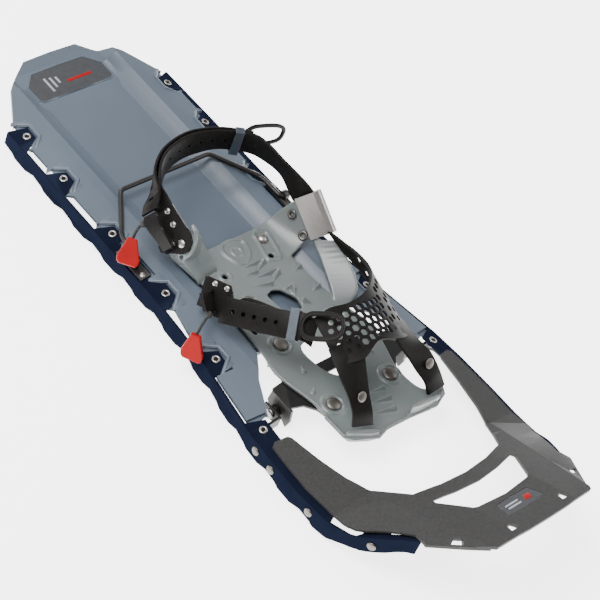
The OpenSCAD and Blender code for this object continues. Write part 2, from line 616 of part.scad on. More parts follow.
up = strap_w / 2;
HEEL_STRAP = [[[-58.6, -49, 57], [-2, 1, up]], [[-57.2, -69, 63], [2.5, 0.5, 0.96 * up]],
              [[-53, -85.5, 66.3], [1.5, 0.5, up]], [[-46.8, -98.1, 67], [0, 0, up]],
              [[-28.6, -111.6, 66.5], [0, 0, up]], [[-9.6, -118, 65.2], [0, -1.6, up]],
              [[6.5, -119, 64], [0, -2, up]], [[24, -114.5, 62.5], [1, -2, up]],
              [[36, -106, 60], [1.5, -1.5, up]], [in_heel([45, 4, -3.2]), -0.85 * up * HEEL_Y],
              [in_heel([36, 3, -3.2]), -0.68 * up * HEEL_Y], [in_heel([13.5, 1, -3.2]), -0.65 * up * HEEL_Y]];
// Second layer of the strap, from the loop down to the lever's tip
HEEL_TAIL = [[in_heel([47, 4, -2.4]), -up * HEEL_Y], [in_heel([40, 5, 1]), -0.8 * up * HEEL_Y],
             [in_heel([31, 9, 8]), -0.6 * up * HEEL_Y]];
// Short web from the strap to its grip loop
HEEL_ROOT = [[[-46.2, -98.4, 66.9], [0, 0, 0.88 * up]], [[-49, -107.4, 65.5], [0, 0, 0.8 * up]]];
// Grip loop at the strap's free end, seen along the strap's own face
GRIP = [[-1, -9.5], [22, -10.5], [34, -9], [40, -5], [40, 5], [34, 9], [22, 10.5], [-1, 9.5]];
module grip_loop(thick) {
    linear_extrude(thick, center = true) difference() {
        polygon(GRIP);
        offset(delta = -3.2) polygon(GRIP);
    }
}
module heel_strap() {
    color("#2b2624") {
        difference() {
            strap(HEEL_STRAP, strap_t);
            heel_buckle_place() for (x = HEEL_RIVET_X)
                translate([x, 0, 0]) cylinder(h = 12, r = 1.55, center = true);
        }
        strap(HEEL_TAIL, strap_t);
        strap(HEEL_ROOT, strap_t * 0.96);
        heel_grip_place() grip_loop(strap_t);
    }
}
module heel_grip_place() {
    translate([-48.5, -107.5, 65.5]) rotate([0, 0, 170]) rotate([82, 0, 0]) rotate([0, 0, -10])
        children();
}

// Keeper: a sleeve around the strap, free to slide along it
module keeper(len, wide, deep, wall) {
    difference() {
        cube([len, deep + 2 * wall, wide + 2 * wall], center = true);
        cube([len + 2, deep, wide], center = true);
    }
}
module heel_keeper() {
    color("#4f6276") translate([-37.9, -104.7, 66.75]) rotate([0, 0, -36.6])
        keeper(7, strap_w + 1.6, strap_t + 1.6, 1.3);
}

HEEL_BASE = [[32.5, 5], [30, -5.5], [15.9, -7.8], [4.6, -9.8], [-2.6, -8.5], [-7.7, -2.9], [-7.1, 3.3],
             [-3, 10], [-1, 15.6], [6, 15.6], [10, 13.5], [24, 11], [32.5, 10]];
HEEL_RIVET_X = [15.8, 26.8];
module heel_buckle_base() {
    color("#1b1a1a") heel_buckle_place() difference() {
        union() {
            translate([0, 0, -1.8]) linear_extrude(1.8) polygon(HEEL_BASE);
            for (y = [3.4, 14]) translate([0.2, y, -1]) cube([5.6, 1.6, 7]);
        }
        cylinder(h = 9, r = 2.05, center = true);
        for (x = HEEL_RIVET_X) translate([x, 0, 0]) cylinder(h = 9, r = 1.55, center = true);
        translate([2.5, 0, 4]) rotate([90, 0, 0]) cylinder(h = 40, r = 1.4, center = true);
    }
}
module heel_buckle_rivets() {
    color("#cfcac2") heel_buckle_place() for (x = HEEL_RIVET_X)
        translate([x, 0, 0.02]) domed_rivet(2.4, 1, 1.5, 4.4);
}
module heel_buckle_pin() {
    color("#cfcac2") heel_buckle_place() translate([0, 0, 0.02]) domed_rivet(3.2, 1.3, 2, 5.4);
}
module heel_lever_pin() {
    color("#9d9892") heel_buckle_place() translate([2.5, 9.5, 4]) rotate([90, 0, 0])
        cylinder(h = 12.2, r = 1.4, center = true);
}

// Lever: its side seen across the strap, and its plan, narrow at the hinge
LEVER_SIDE = [[-0.5, 1.6], [5, 1.6], [6, 4.4], [14, 7], [25, 9], [28.6, 9.6], [28.6, 11.2], [25, 12.4],
              [14, 10.4], [4, 7.4], [0, 6]];
LEVER_PLAN = [[-2, 5.3], [6, 5.3], [16, 5.4], [30, 3.4], [30, 14], [24, 16.4], [10, 14.2], [6, 13.7],
              [-2, 13.7]];
module heel_lever() {
    color("#1f1d1d") heel_buckle_place() difference() {
        intersection() {
            translate([0, 20, 0]) rotate([90, 0, 0]) linear_extrude(20) polygon(LEVER_SIDE);
            linear_extrude(20) polygon(LEVER_PLAN);
        }
        translate([2.5, 9, 4]) rotate([90, 0, 0]) cylinder(h = 30, r = 1.46, center = true);
    }
}

// Cord and tab of each lever: route points from the knot to the tab
HEEL_CORD = [[63, -81, 48], [65.7, -82.7, 45.5], [69, -83.2, 43.5], [73, -81.8, 40.8], [77.6, -78.8, 37.8]];
TOE_CORD = [[73.5, 3, 42], [73.1, 6.2, 40.3], [77, 7.5, 39], [83, 10.2, 37.6], [90.2, 13.8, 34.6]];
CORD_R = 1.1;
// Rows of [point, radius]; the cord swells to a knot at its second point
function knot_rows(p) =
    let (a = unit(p[1] - p[0]), b = unit(p[2] - p[1]))
    concat([[p[0], CORD_R], [p[1] - 2.7 * a, CORD_R], [p[1] - 1.9 * a, 2.3], [p[1], 2.9],
            [p[1] + 1.9 * b, 2.3], [p[1] + 2.7 * b, CORD_R]],
           [for (i = [2:len(p) - 1]) [p[i], CORD_R]]);
module cord(points) {
    rows = knot_rows(points);
    color("#1c1b1b")
        loft([for (i = [0:len(rows) - 1]) tube_ring(rows[i][0], tangent(rows, i), rows[i][1], 8)]);
}
module heel_cord() { cord(HEEL_CORD); }
module toe_cord() { cord(TOE_CORD); }

// Flat grip tab: narrow at the cord, wide at the foot; a is its top, b its foot, side its half width
TAB = [[0, 3.6], [5, 5.2], [15, 8.8], [19, 8.2], [20.5, 6.4]];
module pull_tab(a, b, side) {
    len = unit(b - a);
    across = unit(side);
    face = cross(len, across);
    color("#d01824") multmatrix([[len[0], across[0], face[0], a[0]], [len[1], across[1], face[1], a[1]],
                                 [len[2], across[2], face[2], a[2]]])
        translate([0, 0, -2.6]) linear_extrude(5.2)
            polygon(concat([for (p = TAB) p], [for (i = [len(TAB) - 1:-1:0]) [TAB[i][0], -TAB[i][1]]]));
}
module heel_pull_tab() { pull_tab([77, -79.3, 38.5], [88, -68.1, 25], [1, -1.2, 0]); }
module toe_pull_tab() { pull_tab([90, 13.5, 35.4], [95.2, 20.8, 15.7], [1, -1.6, 0]); }

// ---------------------------------------------------------------- toe strap

// Toe buckle: its frame is along the strap, across it, and out of its face
BUCKLE_X = unit([-0.29, 0.92, 0.24]);
BUCKLE_Z = unit(cross([0.5, 0.35, -0.79], BUCKLE_X));
BUCKLE_Y = cross(BUCKLE_Z, BUCKLE_X);
function in_buckle(p) = [59.2, -5, 39.6] + p[0] * BUCKLE_X + p[1] * BUCKLE_Y + p[2] * BUCKLE_Z;

// Net over the toes: rows run from the clip to the left edge, each a rear and a front point
NET = [[[-60, -11, 47.8], [-61, 6, 43.5]],
       [[-60.5, 3, 50.5], [-60.5, 28, 43.5]],
       [[-60, 19, 54], [-60, 54, 40]],
       [[-55, 36, 59], [-54, 76, 45]],
       [[-43, 49, 65], [-44, 96, 51]],
       [[-24.5, 60, 72], [-27, 106, 60]],
       [[-2, 65, 76], [-4, 108, 66]],
       [[15, 61, 74.5], [15, 109, 62]],
       [[27, 60, 68.5], [31, 96, 57.5]]];
// Legs down to the toe cup: centre, half width
RIGHT_LEG = [[[-36, 97, 56.5], [12, 2, -7]], [[-38, 108, 53], [11, 2.5, -5]],
             [[-40.5, 121, 47], [9.5, 2.5, -2]], [[-43, 131, 40], [9, 1.5, -0.5]],
             [[-45.5, 137.6, 30], [9.5, 0.5, 0]]];
LEFT_LEG = [[[22, 96, 60], [11, -2, -4]], [[25, 108, 56], [9.5, -2, -2]],
            [[28, 120, 49.5], [8, -2.5, -1]], [[29.5, 130, 41], [7.5, -3, 0]],
            [[29.5, 135, 31], [8, -3, 0]]];
// Tail that runs back from the net to the toe buckle
NET_TAIL = [[[31, 68.8, 62.2], [6, 5, -5.5]], [[35, 60.8, 63.9], [5.5, 6.2, -5.6]],
            [[38.7, 55.1, 61.9], [5.4, 5.9, -6]], [[44.5, 45.3, 57.1], [5.2, 5.5, -6.6]],
            [[53.5, 17, 45.6], [4.9, 4.1, -7.7]], [in_buckle([11, 0, -1.8]), 10 * BUCKLE_Y],
            [in_buckle([2, 0, -1.5]), 10 * BUCKLE_Y], [in_buckle([-11, 0, -1.5]), 10 * BUCKLE_Y]];
module net_sheet(t) {
    loft([for (i = [0:len(NET) - 1])
          let (r = NET[i], a = NET[max(i - 1, 0)], b = NET[min(i + 1, len(NET) - 1)],
               n = t / 2 * unit(cross(b[0] - a[0], r[1] - r[0])))
          [r[0] + n, r[1] + n, r[1] - n, r[0] - n]]);
}
module toe_strap() {
    color("#2b2624") {
        net_sheet(strap_t);
        difference() {
            union() {
                strap(RIGHT_LEG, strap_t);
                strap(LEFT_LEG, strap_t);
            }
            at_leg_rivets() cylinder(h = 14, r = 1.55, center = true);
        }
        strap(NET_TAIL, strap_t);
    }
}
module at_leg_rivets() {
    translate([-42.3, 123.5, 47.6]) rotate([-56, 0, 0]) children();
    translate([28.2, 122.5, 49.7]) rotate([-52, 0, 0]) children();
}
module toe_leg_rivets() {
    color("#9a948c") at_leg_rivets() translate([0, 0, 1.5]) domed_rivet(4.2, 1.2, 1.5, 4.5);
}

// Loose end of the strap: outside the tail, through the keeper, to an open grip loop
TAIL_END = [[[61.4, 7.2, 41.2], [5, 4.4, -7.5]], [[59, 15, 45], [5, 4.6, -7.3]],
            [[46.6, 45.5, 59.2], [5.2, 5.5, -6.6]], [[40.8, 55.3, 64], [5.4, 5.9, -6]],
            [[37.5, 61, 66.7], [5.5, 6.2, -5.6]]];
TAIL_GRIP_X = unit([-13.4, 20.6, 12.4]);
TAIL_GRIP_Z = unit(cross(TAIL_GRIP_X, [6.9, 8, -3.4]));
TAIL_GRIP_Y = cross(TAIL_GRIP_Z, TAIL_GRIP_X);
module tail_grip_place() {
    multmatrix([[TAIL_GRIP_X[0], TAIL_GRIP_Y[0], TAIL_GRIP_Z[0], 38.7],
                [TAIL_GRIP_X[1], TAIL_GRIP_Y[1], TAIL_GRIP_Z[1], 60],
                [TAIL_GRIP_X[2], TAIL_GRIP_Y[2], TAIL_GRIP_Z[2], 67.6]])
        scale([0.8, 1.15, 1]) children();
}
module toe_strap_tail() {
    color("#2b2624") difference() {
        union() {
            strap(TAIL_END, strap_t);
            tail_grip_place() grip_loop(strap_t);
        }
        for (i = [0:4])
            translate(lerp([59, 15, 45], [47, 45, 59], i / 4)) rotate([0, 52, 6])
                cylinder(h = 20, r = 1.7, center = true);
    }
}
module toe_keeper() {
    color("#4f6276") keeper_place() keeper(7, strap_w + 1.6, strap_t * 2 + 1.8, 1.3);
}
KEEPER_X = unit([-0.47, 0.8, 0.38]);
KEEPER_Y = unit(cross([5.4, 5.9, -6], KEEPER_X));
KEEPER_Z = cross(KEEPER_X, KEEPER_Y);
module keeper_place() {
    multmatrix([[KEEPER_X[0], KEEPER_Y[0], KEEPER_Z[0], 39.75], [KEEPER_X[1], KEEPER_Y[1], KEEPER_Z[1], 55.2],
                [KEEPER_X[2], KEEPER_Y[2], KEEPER_Z[2], 62.95]]) children();
}

module toe_buckle_place() {
    multmatrix([[BUCKLE_X[0], BUCKLE_Y[0], BUCKLE_Z[0], 59.2], [BUCKLE_X[1], BUCKLE_Y[1], BUCKLE_Z[1], -5],
                [BUCKLE_X[2], BUCKLE_Y[2], BUCKLE_Z[2], 39.6]]) children();
}
// Hinge line of the toe lever, turned in the plane of the base
module toe_hinge() { toe_buckle_place() translate([0.5, -3, 4]) rotate([0, 0, 35]) children(); }
TOE_BASE = [[-11, 12.5], [-9, 13.5], [10, 13.5], [13, 10], [13, -5], [9, -12], [0, -12], [-11, 4]];
module toe_buckle_base() {
    color("#1b1a1a") difference() {
        union() {
            toe_buckle_place() linear_extrude(1.8) polygon(TOE_BASE);
            toe_hinge() for (y = [-8.6, 7]) translate([-3.5, y, -3]) cube([7, 1.6, 5.4]);
        }
        toe_buckle_place() for (x = [-2, 8]) translate([x, 10.4, -1]) cylinder(h = 4, r = 1.3);
        toe_hinge() rotate([90, 0, 0]) cylinder(h = 40, r = 1.4, center = true);
    }
}
module toe_buckle_rivets() {
    color("#cfcac2") toe_buckle_place() for (x = [-2, 8])
        translate([x, 10.4, 1.82]) domed_rivet(2.2, 0.9, 1.25, 1.8);
}
module toe_lever_pin() {
    color("#9d9892") toe_hinge() rotate([90, 0, 0]) cylinder(h = 17, r = 1.4, center = true);
}
// Lever, standing open: x away from the hinge line, z out of the base
TOE_LEVER = [[-2.1, -0.4], [-1.3, -1.7], [1.3, -1.7], [2.1, -0.4], [3, 2.4], [2, 8], [1.4, 15],
             [-1, 15.6], [-2, 8], [-2.8, 2]];
module toe_lever() {
    color("#1f1d1d") toe_hinge() difference() {
        translate([0, 6.7, 0]) rotate([90, 0, 0]) linear_extrude(13.4) polygon(TOE_LEVER);
        rotate([90, 0, 0]) cylinder(h = 30, r = 1.46, center = true);
    }
}

deck();
left_rail();
right_rail();
nose_cap();
tail_badge();
nose_badge();
deck_eyelets();
rail_rivets();
left_pivot_bracket();
right_pivot_bracket();
bracket_rivets();
pivot_pins();
pivot_bushes();
left_lifter_bracket();
right_lifter_bracket();
lifter_rivets();
heel_lifter();
crampon();
cradle();
crampon_rivets();
crampon_washers();
wing_rivets();
size_stud();
strap_clip();
heel_strap();
heel_buckle_base();
heel_buckle_rivets();
heel_buckle_pin();
heel_lever_pin();
heel_lever();
heel_keeper();
heel_cord();
heel_pull_tab();
toe_strap();
toe_leg_rivets();
toe_strap_tail();
toe_buckle_base();
toe_buckle_rivets();
toe_lever_pin();
toe_lever();
toe_keeper();
toe_cord();
toe_pull_tab();
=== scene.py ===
import bpy, bmesh, math
from mathutils import Matrix, Vector


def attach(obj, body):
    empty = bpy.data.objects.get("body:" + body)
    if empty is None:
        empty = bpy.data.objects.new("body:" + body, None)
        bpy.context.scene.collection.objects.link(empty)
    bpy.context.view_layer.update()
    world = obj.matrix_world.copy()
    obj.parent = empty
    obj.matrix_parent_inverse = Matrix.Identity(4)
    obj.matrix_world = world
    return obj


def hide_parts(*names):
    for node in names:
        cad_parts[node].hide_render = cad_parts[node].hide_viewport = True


# Visual model of the snowshoe, around the CAD nodes. Points and widths of the pieces are millimetres in the part's
# frame: +X to the wearer's right, +Y to the nose, +Z up. The camera, the lights and Blender itself use metres.
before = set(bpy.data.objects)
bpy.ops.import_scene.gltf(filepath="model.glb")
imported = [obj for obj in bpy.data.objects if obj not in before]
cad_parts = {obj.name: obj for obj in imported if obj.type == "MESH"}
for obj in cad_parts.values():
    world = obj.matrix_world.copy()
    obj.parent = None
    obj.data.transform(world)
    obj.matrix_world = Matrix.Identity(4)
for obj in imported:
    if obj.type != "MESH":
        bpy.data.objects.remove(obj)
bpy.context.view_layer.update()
MM = 0.001

# ------------------------------------------------------------------ camera and light
# Solved from left and right pairs of points on the photograph, the deck's eyelets among them
CAMERA_AT = (0.9722978, 0.605184, 1.1903769)
RIGHT = Vector((-0.71794243, 0.63359045, 0.28830853))
DOWN = Vector((0.34859606, 0.68574508, -0.63893229))
AHEAD = Vector((-0.60252755, -0.35821339, -0.71319263))
cam = bpy.data.objects.new("camera", bpy.data.cameras.new("camera"))
bpy.context.scene.collection.objects.link(cam)
cam.matrix_world = Matrix([(RIGHT[i], -DOWN[i], -AHEAD[i], CAMERA_AT[i]) for i in range(3)] + [(0, 0, 0, 1)])
cam.data.lens = 130.9956
cam.data.sensor_width = 36
cam.data.clip_end = 20
bpy.context.scene.camera = cam


def area_light(name, at, target, size, power, colour=(1, 1, 1)):
    light = bpy.data.lights.new(name, "AREA")
    light.shape, light.size, light.size_y = "RECTANGLE", size[0], size[1]
    light.energy, light.color = power, colour
    o = bpy.data.objects.new(name, light)
    bpy.context.scene.collection.objects.link(o)
    o.location = at
    o.rotation_euler = (Vector(target) - Vector(at)).to_track_quat("-Z", "Y").to_euler()


area_light("key", (0.75, -0.35, 1.5), (0, 0, 0), (1.0, 1.0), 42)
area_light("rim", (-0.3, -1.4, 0.9), (0, 0, 0), (1.0, 0.5), 9)
area_light("fill", (-1.0, 0.5, 1.1), (0, 0, 0.03), (1.0, 0.8), 9)
world = bpy.data.worlds.new("world")
bpy.context.scene.world = world
world.use_nodes = True
world.node_tree.nodes["Background"].inputs["Color"].default_value = (1, 1, 1, 1)
world.node_tree.nodes["Background"].inputs["Strength"].default_value = 0.5

# ------------------------------------------------------------------ materials
# Dark bases and low specular levels make up for the glowing floor, which washes out dark plastics and paint

def material(name, colour, rough, metal=0.0, grain=None, tint=(90, 0.08), wear=None, streak=None, **sockets):
    """Procedural finish. tint = (noise scale, share of the colour), grain = (noise scale, height in mm), wear is the
    colour of rubbed edges, streak stretches the noise along an axis, and sockets go on the shader as they are."""
    m = bpy.data.materials.new(name)
    m.use_nodes = True
    nt = m.node_tree
    nodes, links = nt.nodes, nt.links
    bsdf = nodes["Principled BSDF"]
    coord = nodes.new("ShaderNodeTexCoord")
    source = coord.outputs["Object"]
    if streak:
        mapping = nodes.new("ShaderNodeMapping")
        mapping.inputs["Scale"].default_value = streak
        links.new(source, mapping.inputs["Vector"])
        source = mapping.outputs["Vector"]
    mottle = nodes.new("ShaderNodeTexNoise")
    mottle.inputs["Scale"].default_value = tint[0]
    mottle.inputs["Detail"].default_value = 4
    links.new(source, mottle.inputs["Vector"])
    ramp = nodes.new("ShaderNodeValToRGB")
    ramp.color_ramp.elements[0].position, ramp.color_ramp.elements[1].position = 0.3, 0.7
    low = [max(0, c * (1 - tint[1])) for c in colour]
    high = [min(1, c * (1 + tint[1])) for c in colour]
    ramp.color_ramp.elements[0].color, ramp.color_ramp.elements[1].color = (*low, 1), (*high, 1)
    links.new(mottle.outputs["Fac"], ramp.inputs["Fac"])
    out = ramp.outputs["Color"]
    if wear:
        geo = nodes.new("ShaderNodeNewGeometry")
        edge = nodes.new("ShaderNodeValToRGB")
        edge.color_ramp.elements[0].position, edge.color_ramp.elements[1].position = 0.53, 0.62
        links.new(geo.outputs["Pointiness"], edge.inputs["Fac"])
        mix = nodes.new("ShaderNodeMix")
        mix.data_type = "RGBA"
        links.new(edge.outputs["Color"], mix.inputs[0])
        links.new(out, mix.inputs[6])
        mix.inputs[7].default_value = (*wear, 1)
        out = mix.outputs[2]
    links.new(out, bsdf.inputs["Base Color"])
    span = nodes.new("ShaderNodeMapRange")
    span.inputs["To Min"].default_value, span.inputs["To Max"].default_value = rough * 0.88, min(1, rough * 1.12)
    links.new(mottle.outputs["Fac"], span.inputs["Value"])
    links.new(span.outputs["Result"], bsdf.inputs["Roughness"])
    bsdf.inputs["Metallic"].default_value = metal
    if grain:
        fine = nodes.new("ShaderNodeTexNoise")
        fine.inputs["Scale"].default_value = grain[0]
        fine.inputs["Detail"].default_value = 3
        links.new(source, fine.inputs["Vector"])
        bump = nodes.new("ShaderNodeBump")
        bump.inputs["Strength"].default_value = 1
        bump.inputs["Distance"].default_value = grain[1] * MM
        links.new(fine.outputs["Fac"], bump.inputs["Height"])
        links.new(bump.outputs["Normal"], bsdf.inputs["Normal"])
    for key, value in sockets.items():
        bsdf.inputs[key.replace("_", " ")].default_value = value
    return m


DECK = material("deck_plastic", (0.076, 0.098, 0.127), 0.4, grain=(1500, 0.03), tint=(14, 0.06), Coat_Weight=0.12,
                Coat_Roughness=0.3)
RAIL = material("rail_paint", (0.0062, 0.0084, 0.018), 0.6, grain=(2200, 0.02), tint=(60, 0.12),
                wear=(0.012, 0.016, 0.032), Specular_IOR_Level=0.0)
NOSE = material("nose_plastic", (0.032, 0.031, 0.0305), 0.52, grain=(900, 0.16), tint=(500, 0.16),
                Specular_IOR_Level=0.18)
BADGE = material("badge_film", (0.035, 0.037, 0.042), 0.3, grain=(600, 0.02), tint=(200, 0.1), Coat_Weight=0.4)
STEEL = material("bright_steel", (0.4, 0.38, 0.355), 0.32, 1.0, grain=(500, 0.004), tint=(200, 0.05))
BRUSHED = material("brushed_steel", (0.4, 0.38, 0.36), 0.3, 1.0, grain=(60, 0.02), tint=(60, 0.06),
                   streak=(12, 1, 12))
DULL = material("dull_steel", (0.15, 0.14, 0.127), 0.42, 1.0, grain=(700, 0.03), tint=(300, 0.12))
BLACKSTEEL = material("black_coat", (0.011, 0.0105, 0.0105), 0.38, 0.2, grain=(1600, 0.04), tint=(80, 0.15),
                      wear=(0.08, 0.075, 0.07))
WIRE = material("wire_coat", (0.02, 0.018, 0.017), 0.33, 0.3, grain=(1800, 0.03), tint=(90, 0.15))
GREY = material("soft_grey", (0.132, 0.15, 0.149), 0.33, grain=(1300, 0.035), tint=(22, 0.05),
                Subsurface_Weight=0.2, Subsurface_Scale=0.003, Coat_Weight=0.25, Coat_Roughness=0.35)
RUBBER = material("black_rubber", (0.0062, 0.0052, 0.0047), 0.46, grain=(1700, 0.04), tint=(260, 0.2),
                  Specular_IOR_Level=0.12)
BLACK = material("black_plastic", (0.0085, 0.0078, 0.0075), 0.25, grain=(1500, 0.02), tint=(160, 0.15),
                 Specular_IOR_Level=0.22)
KEEPER = material("keeper_plastic", (0.034, 0.048, 0.065), 0.3, grain=(900, 0.03), tint=(120, 0.08),
                  Subsurface_Weight=0.4, Subsurface_Scale=0.002, Coat_Weight=0.2)
RED = material("red_plastic", (0.29, 0.0, 0.0004), 0.5, grain=(1400, 0.02), tint=(70, 0.06),
               Specular_IOR_Level=0.2)
PALE = material("badge_pale", (0.3, 0.31, 0.32), 0.4, grain=(800, 0.01), tint=(200, 0.05))
CORD = material("cord_braid", (0.016, 0.015, 0.015), 0.7, grain=(2600, 0.25), tint=(900, 0.3))

floor_mat = material("floor", (0.93, 0.93, 0.93), 0.8, grain=(300, 0.02), tint=(4, 0.01),
                     Emission_Color=(1, 1, 1, 1), Emission_Strength=3.4)

# ------------------------------------------------------------------ mesh helpers
CREASE = 38  # degrees between two faces above which their shared edge is shaded sharp
BEVEL_ANGLE = 35  # degrees between two faces above which a bevel rounds their shared edge


def build(name, verts, faces, mat):
    """New object from points in millimetres. It rides nothing until dress gives it a body."""
    mesh = bpy.data.meshes.new(name)
    mesh.from_pydata([tuple(c * MM for c in v) for v in verts], [], faces)
    bm = bmesh.new()
    bm.from_mesh(mesh)
    bmesh.ops.remove_doubles(bm, verts=bm.verts, dist=1e-7)
    bmesh.ops.recalc_face_normals(bm, faces=bm.faces)
    bm.to_mesh(mesh)
    bm.free()
    o = bpy.data.objects.new(name, mesh)
    bpy.context.scene.collection.objects.link(o)
    return dress(o, mat)


def dress(o, mat, body=None, nodes=(), sharp=CREASE):
    """Gives o its material and shading and, with a body, its place in the model and the CAD nodes it replaces."""
    o.data.materials.clear()
    o.data.materials.append(mat)
    shade(o.data, sharp)
    if body:
        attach(o, body)
        if nodes:
            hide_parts(*nodes)
    return o


def shade(mesh, sharp):
    mesh.polygons.foreach_set("use_smooth", [True] * len(mesh.polygons))
    mesh.set_sharp_from_angle(angle=math.radians(sharp))
    mesh.update()


def bake(o):
    """Applies the modifiers of o to its mesh."""
    bpy.context.view_layer.update()
    done = bpy.data.meshes.new_from_object(o.evaluated_get(bpy.context.evaluated_depsgraph_get()))
    o.modifiers.clear()
    o.data = done
    return o


def rounded(o, width, segments=2, angle=BEVEL_ANGLE):
    """Rounds the edges of o by width millimetres and bakes it."""
    b = o.modifiers.new("bevel", "BEVEL")
    b.width, b.segments, b.limit_method, b.angle_limit = width * MM, segments, "ANGLE", math.radians(angle)
    b.use_clamp_overlap = True
    return bake(o)


def catmull(rows, k, closed=False):
    """Smooth curve through rows; a row is a flat list of numbers, and k new rows come for each old one."""
    n, out = len(rows), []
    for i in range(n if closed else n - 1):
        pick = (lambda j: rows[j % n]) if closed else (lambda j: rows[min(max(j, 0), n - 1)])
        p, a, b, q = pick(i - 1), pick(i), pick(i + 1), pick(i + 2)
        for s in range(k):
            t = s / k
            out.append([0.5 * (2 * y + (z - x) * t + (2 * x - 5 * y + 4 * z - w) * t * t
                               + (3 * y - x - 3 * z + w) * t ** 3) for x, y, z, w in zip(p, a, b, q)])
    if not closed:
        out.append(list(rows[-1]))
    return out


def loft(rings, caps=True):
    """Points and faces of a tube through rings of points."""
    n = len(rings[0])
    verts = [tuple(p) for r in rings for p in r]
    faces = [(i * n + j, i * n + (j + 1) % n, (i + 1) * n + (j + 1) % n, (i + 1) * n + j)
             for i in range(len(rings) - 1) for j in range(n)]
    if caps:
        faces += [tuple(range(n)), tuple(range((len(rings) - 1) * n, len(rings) * n))]
    return verts, faces


# ------------------------------------------------------------------ CAD nodes that stay
UNBEVELLED_CREASE = 40  # degrees
WELD_GAP = 2e-6  # metres


def keep(names, mat, width, angle=BEVEL_ANGLE):
    """Dresses CAD nodes, and rounds their edges by width millimetres where it isn't 0."""
    for n in names:
        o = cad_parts[n]
        o.data.materials.clear()
        o.data.materials.append(mat)
        if "custom_normal" in o.data.attributes:
            o.data.attributes.remove(o.data.attributes["custom_normal"])
        shade(o.data, angle if width else UNBEVELLED_CREASE)
        weld = o.modifiers.new("weld", "WELD")
        weld.merge_threshold = WELD_GAP
        if width:
            flat = o.modifiers.new("flat", "DECIMATE")
            flat.decimate_type, flat.angle_limit = "DISSOLVE", math.radians(1)
            b = o.modifiers.new("bevel", "BEVEL")
            b.width, b.segments, b.limit_method, b.angle_limit = width * MM, 2, "ANGLE", math.radians(angle)
            b.harden_normals = True


keep(["deck"], DECK, 0.9, 10)
keep(["left_rail", "right_rail"], RAIL, 0.35)
keep(["nose_cap"], NOSE, 0.9, 8)
keep(["tail_badge", "nose_badge"], BADGE, 0.25)
keep(["deck_eyelets", "pivot_pins", "lifter_rivets", "heel_buckle_rivets", "heel_buckle_pin", "toe_buckle_rivets",
      "heel_lever_pin", "toe_lever_pin", "crampon_washers", "size_stud"], STEEL, 0)
keep(["crampon_rivets", "toe_leg_rivets", "rail_rivets", "bracket_rivets", "wing_rivets"], DULL, 0)
keep(["crampon", "left_pivot_bracket", "right_pivot_bracket", "left_lifter_bracket", "right_lifter_bracket"],
     BLACKSTEEL, 0.3)
keep(["heel_lifter"], WIRE, 0)
keep(["strap_clip"], BRUSHED, 0.25)
keep(["pivot_bushes", "heel_buckle_base", "toe_buckle_base"], BLACK, 0.5)
keep(["heel_lever", "toe_lever"], BLACK, 1.0)
keep(["heel_keeper", "toe_keeper"], KEEPER, 0.4)
keep(["heel_pull_tab", "toe_pull_tab"], RED, 1.7)
keep(["heel_cord", "toe_cord"], CORD, 0)

# ------------------------------------------------------------------ shapes shared with the CAD source


def unit(v):
    return Vector(v).normalized()


def axes(x, y, z, o):
    """Matrix with columns x, y and z and its origin at o."""
    return Matrix(((x[0], y[0], z[0], o[0]), (x[1], y[1], z[1], o[1]), (x[2], y[2], z[2], o[2]), (0, 0, 0, 1)))


# Axes of the heel buckle and of the toe buckle: X along the strap, Y across it, Z off its face
HX = unit((-0.14, -0.93, 0.34))
HY = unit(Vector((0.86, 0.05, 0.5)).cross(HX))
HZ = HX.cross(HY)
HEEL = axes(HX, HY, HZ, (52.9, -53.5, 46.4))
BX = unit((-0.29, 0.92, 0.24))
BZ = unit(Vector((0.5, 0.35, -0.79)).cross(BX))
BY = BZ.cross(BX)
BUCKLE = axes(BX, BY, BZ, (59.2, -5, 39.6))


def heel(x, y, z):
    return HEEL @ Vector((x, y, z))


def buckle(x, y, z):
    return BUCKLE @ Vector((x, y, z))


def strap(rows, t, k=5, corner=0.7):
    """Closed band of thickness t along rows of [centre, half width vector], with its long edges cut back by corner."""
    flat = catmull([[*c, *w] for c, w in rows], k)
    rings = []
    for i, r in enumerate(flat):
        a, b = flat[max(i - 1, 0)], flat[min(i + 1, len(flat) - 1)]
        along = (Vector(b[:3]) - Vector(a[:3])).normalized()
        w = Vector(r[3:])
        n = along.cross(w).normalized() * (t / 2)
        side = w.normalized()
        ring = []
        for sa, sb in ((1, 1), (-1, 1), (-1, -1), (1, -1)):
            arc = [(corner, 0), (corner * 0.3, corner * 0.3), (0, corner)]
            arc = arc if sa * sb > 0 else arc[::-1]
            for du, dn in arc[::-1]:
                ring.append(Vector(r[:3]) + sa * (w - side * du) + sb * (n - n.normalized() * dn))
        rings.append(ring)
    return loft(rings)


def joined(*parts):
    verts, faces = [], []
    for v, f in parts:
        faces += [tuple(i + len(verts) for i in face) for face in f]
        verts += list(v)
    return verts, faces


def plate(outlines, thick, bevel, place, res=2):
    """Flat piece with holes and rounded edges, centred on z = 0 and then moved by place."""
    cu = bpy.data.curves.new("flat", "CURVE")
    cu.dimensions, cu.fill_mode = "2D", "BOTH"
    cu.extrude, cu.bevel_depth, cu.bevel_resolution, cu.offset = max(thick / 2 - bevel, 0), bevel, res, -bevel
    for line in outlines:
        sp = cu.splines.new("POLY")
        sp.points.add(len(line) - 1)
        for q, at in zip(sp.points, line):
            q.co = (at[0], at[1], 0, 1)
        sp.use_cyclic_u = True
    o = bpy.data.objects.new("flat", cu)
    mesh = bpy.data.meshes.new_from_object(o)
    out = [place @ v.co for v in mesh.vertices], [tuple(q.vertices) for q in mesh.polygons]
    bpy.data.objects.remove(o)
    return out


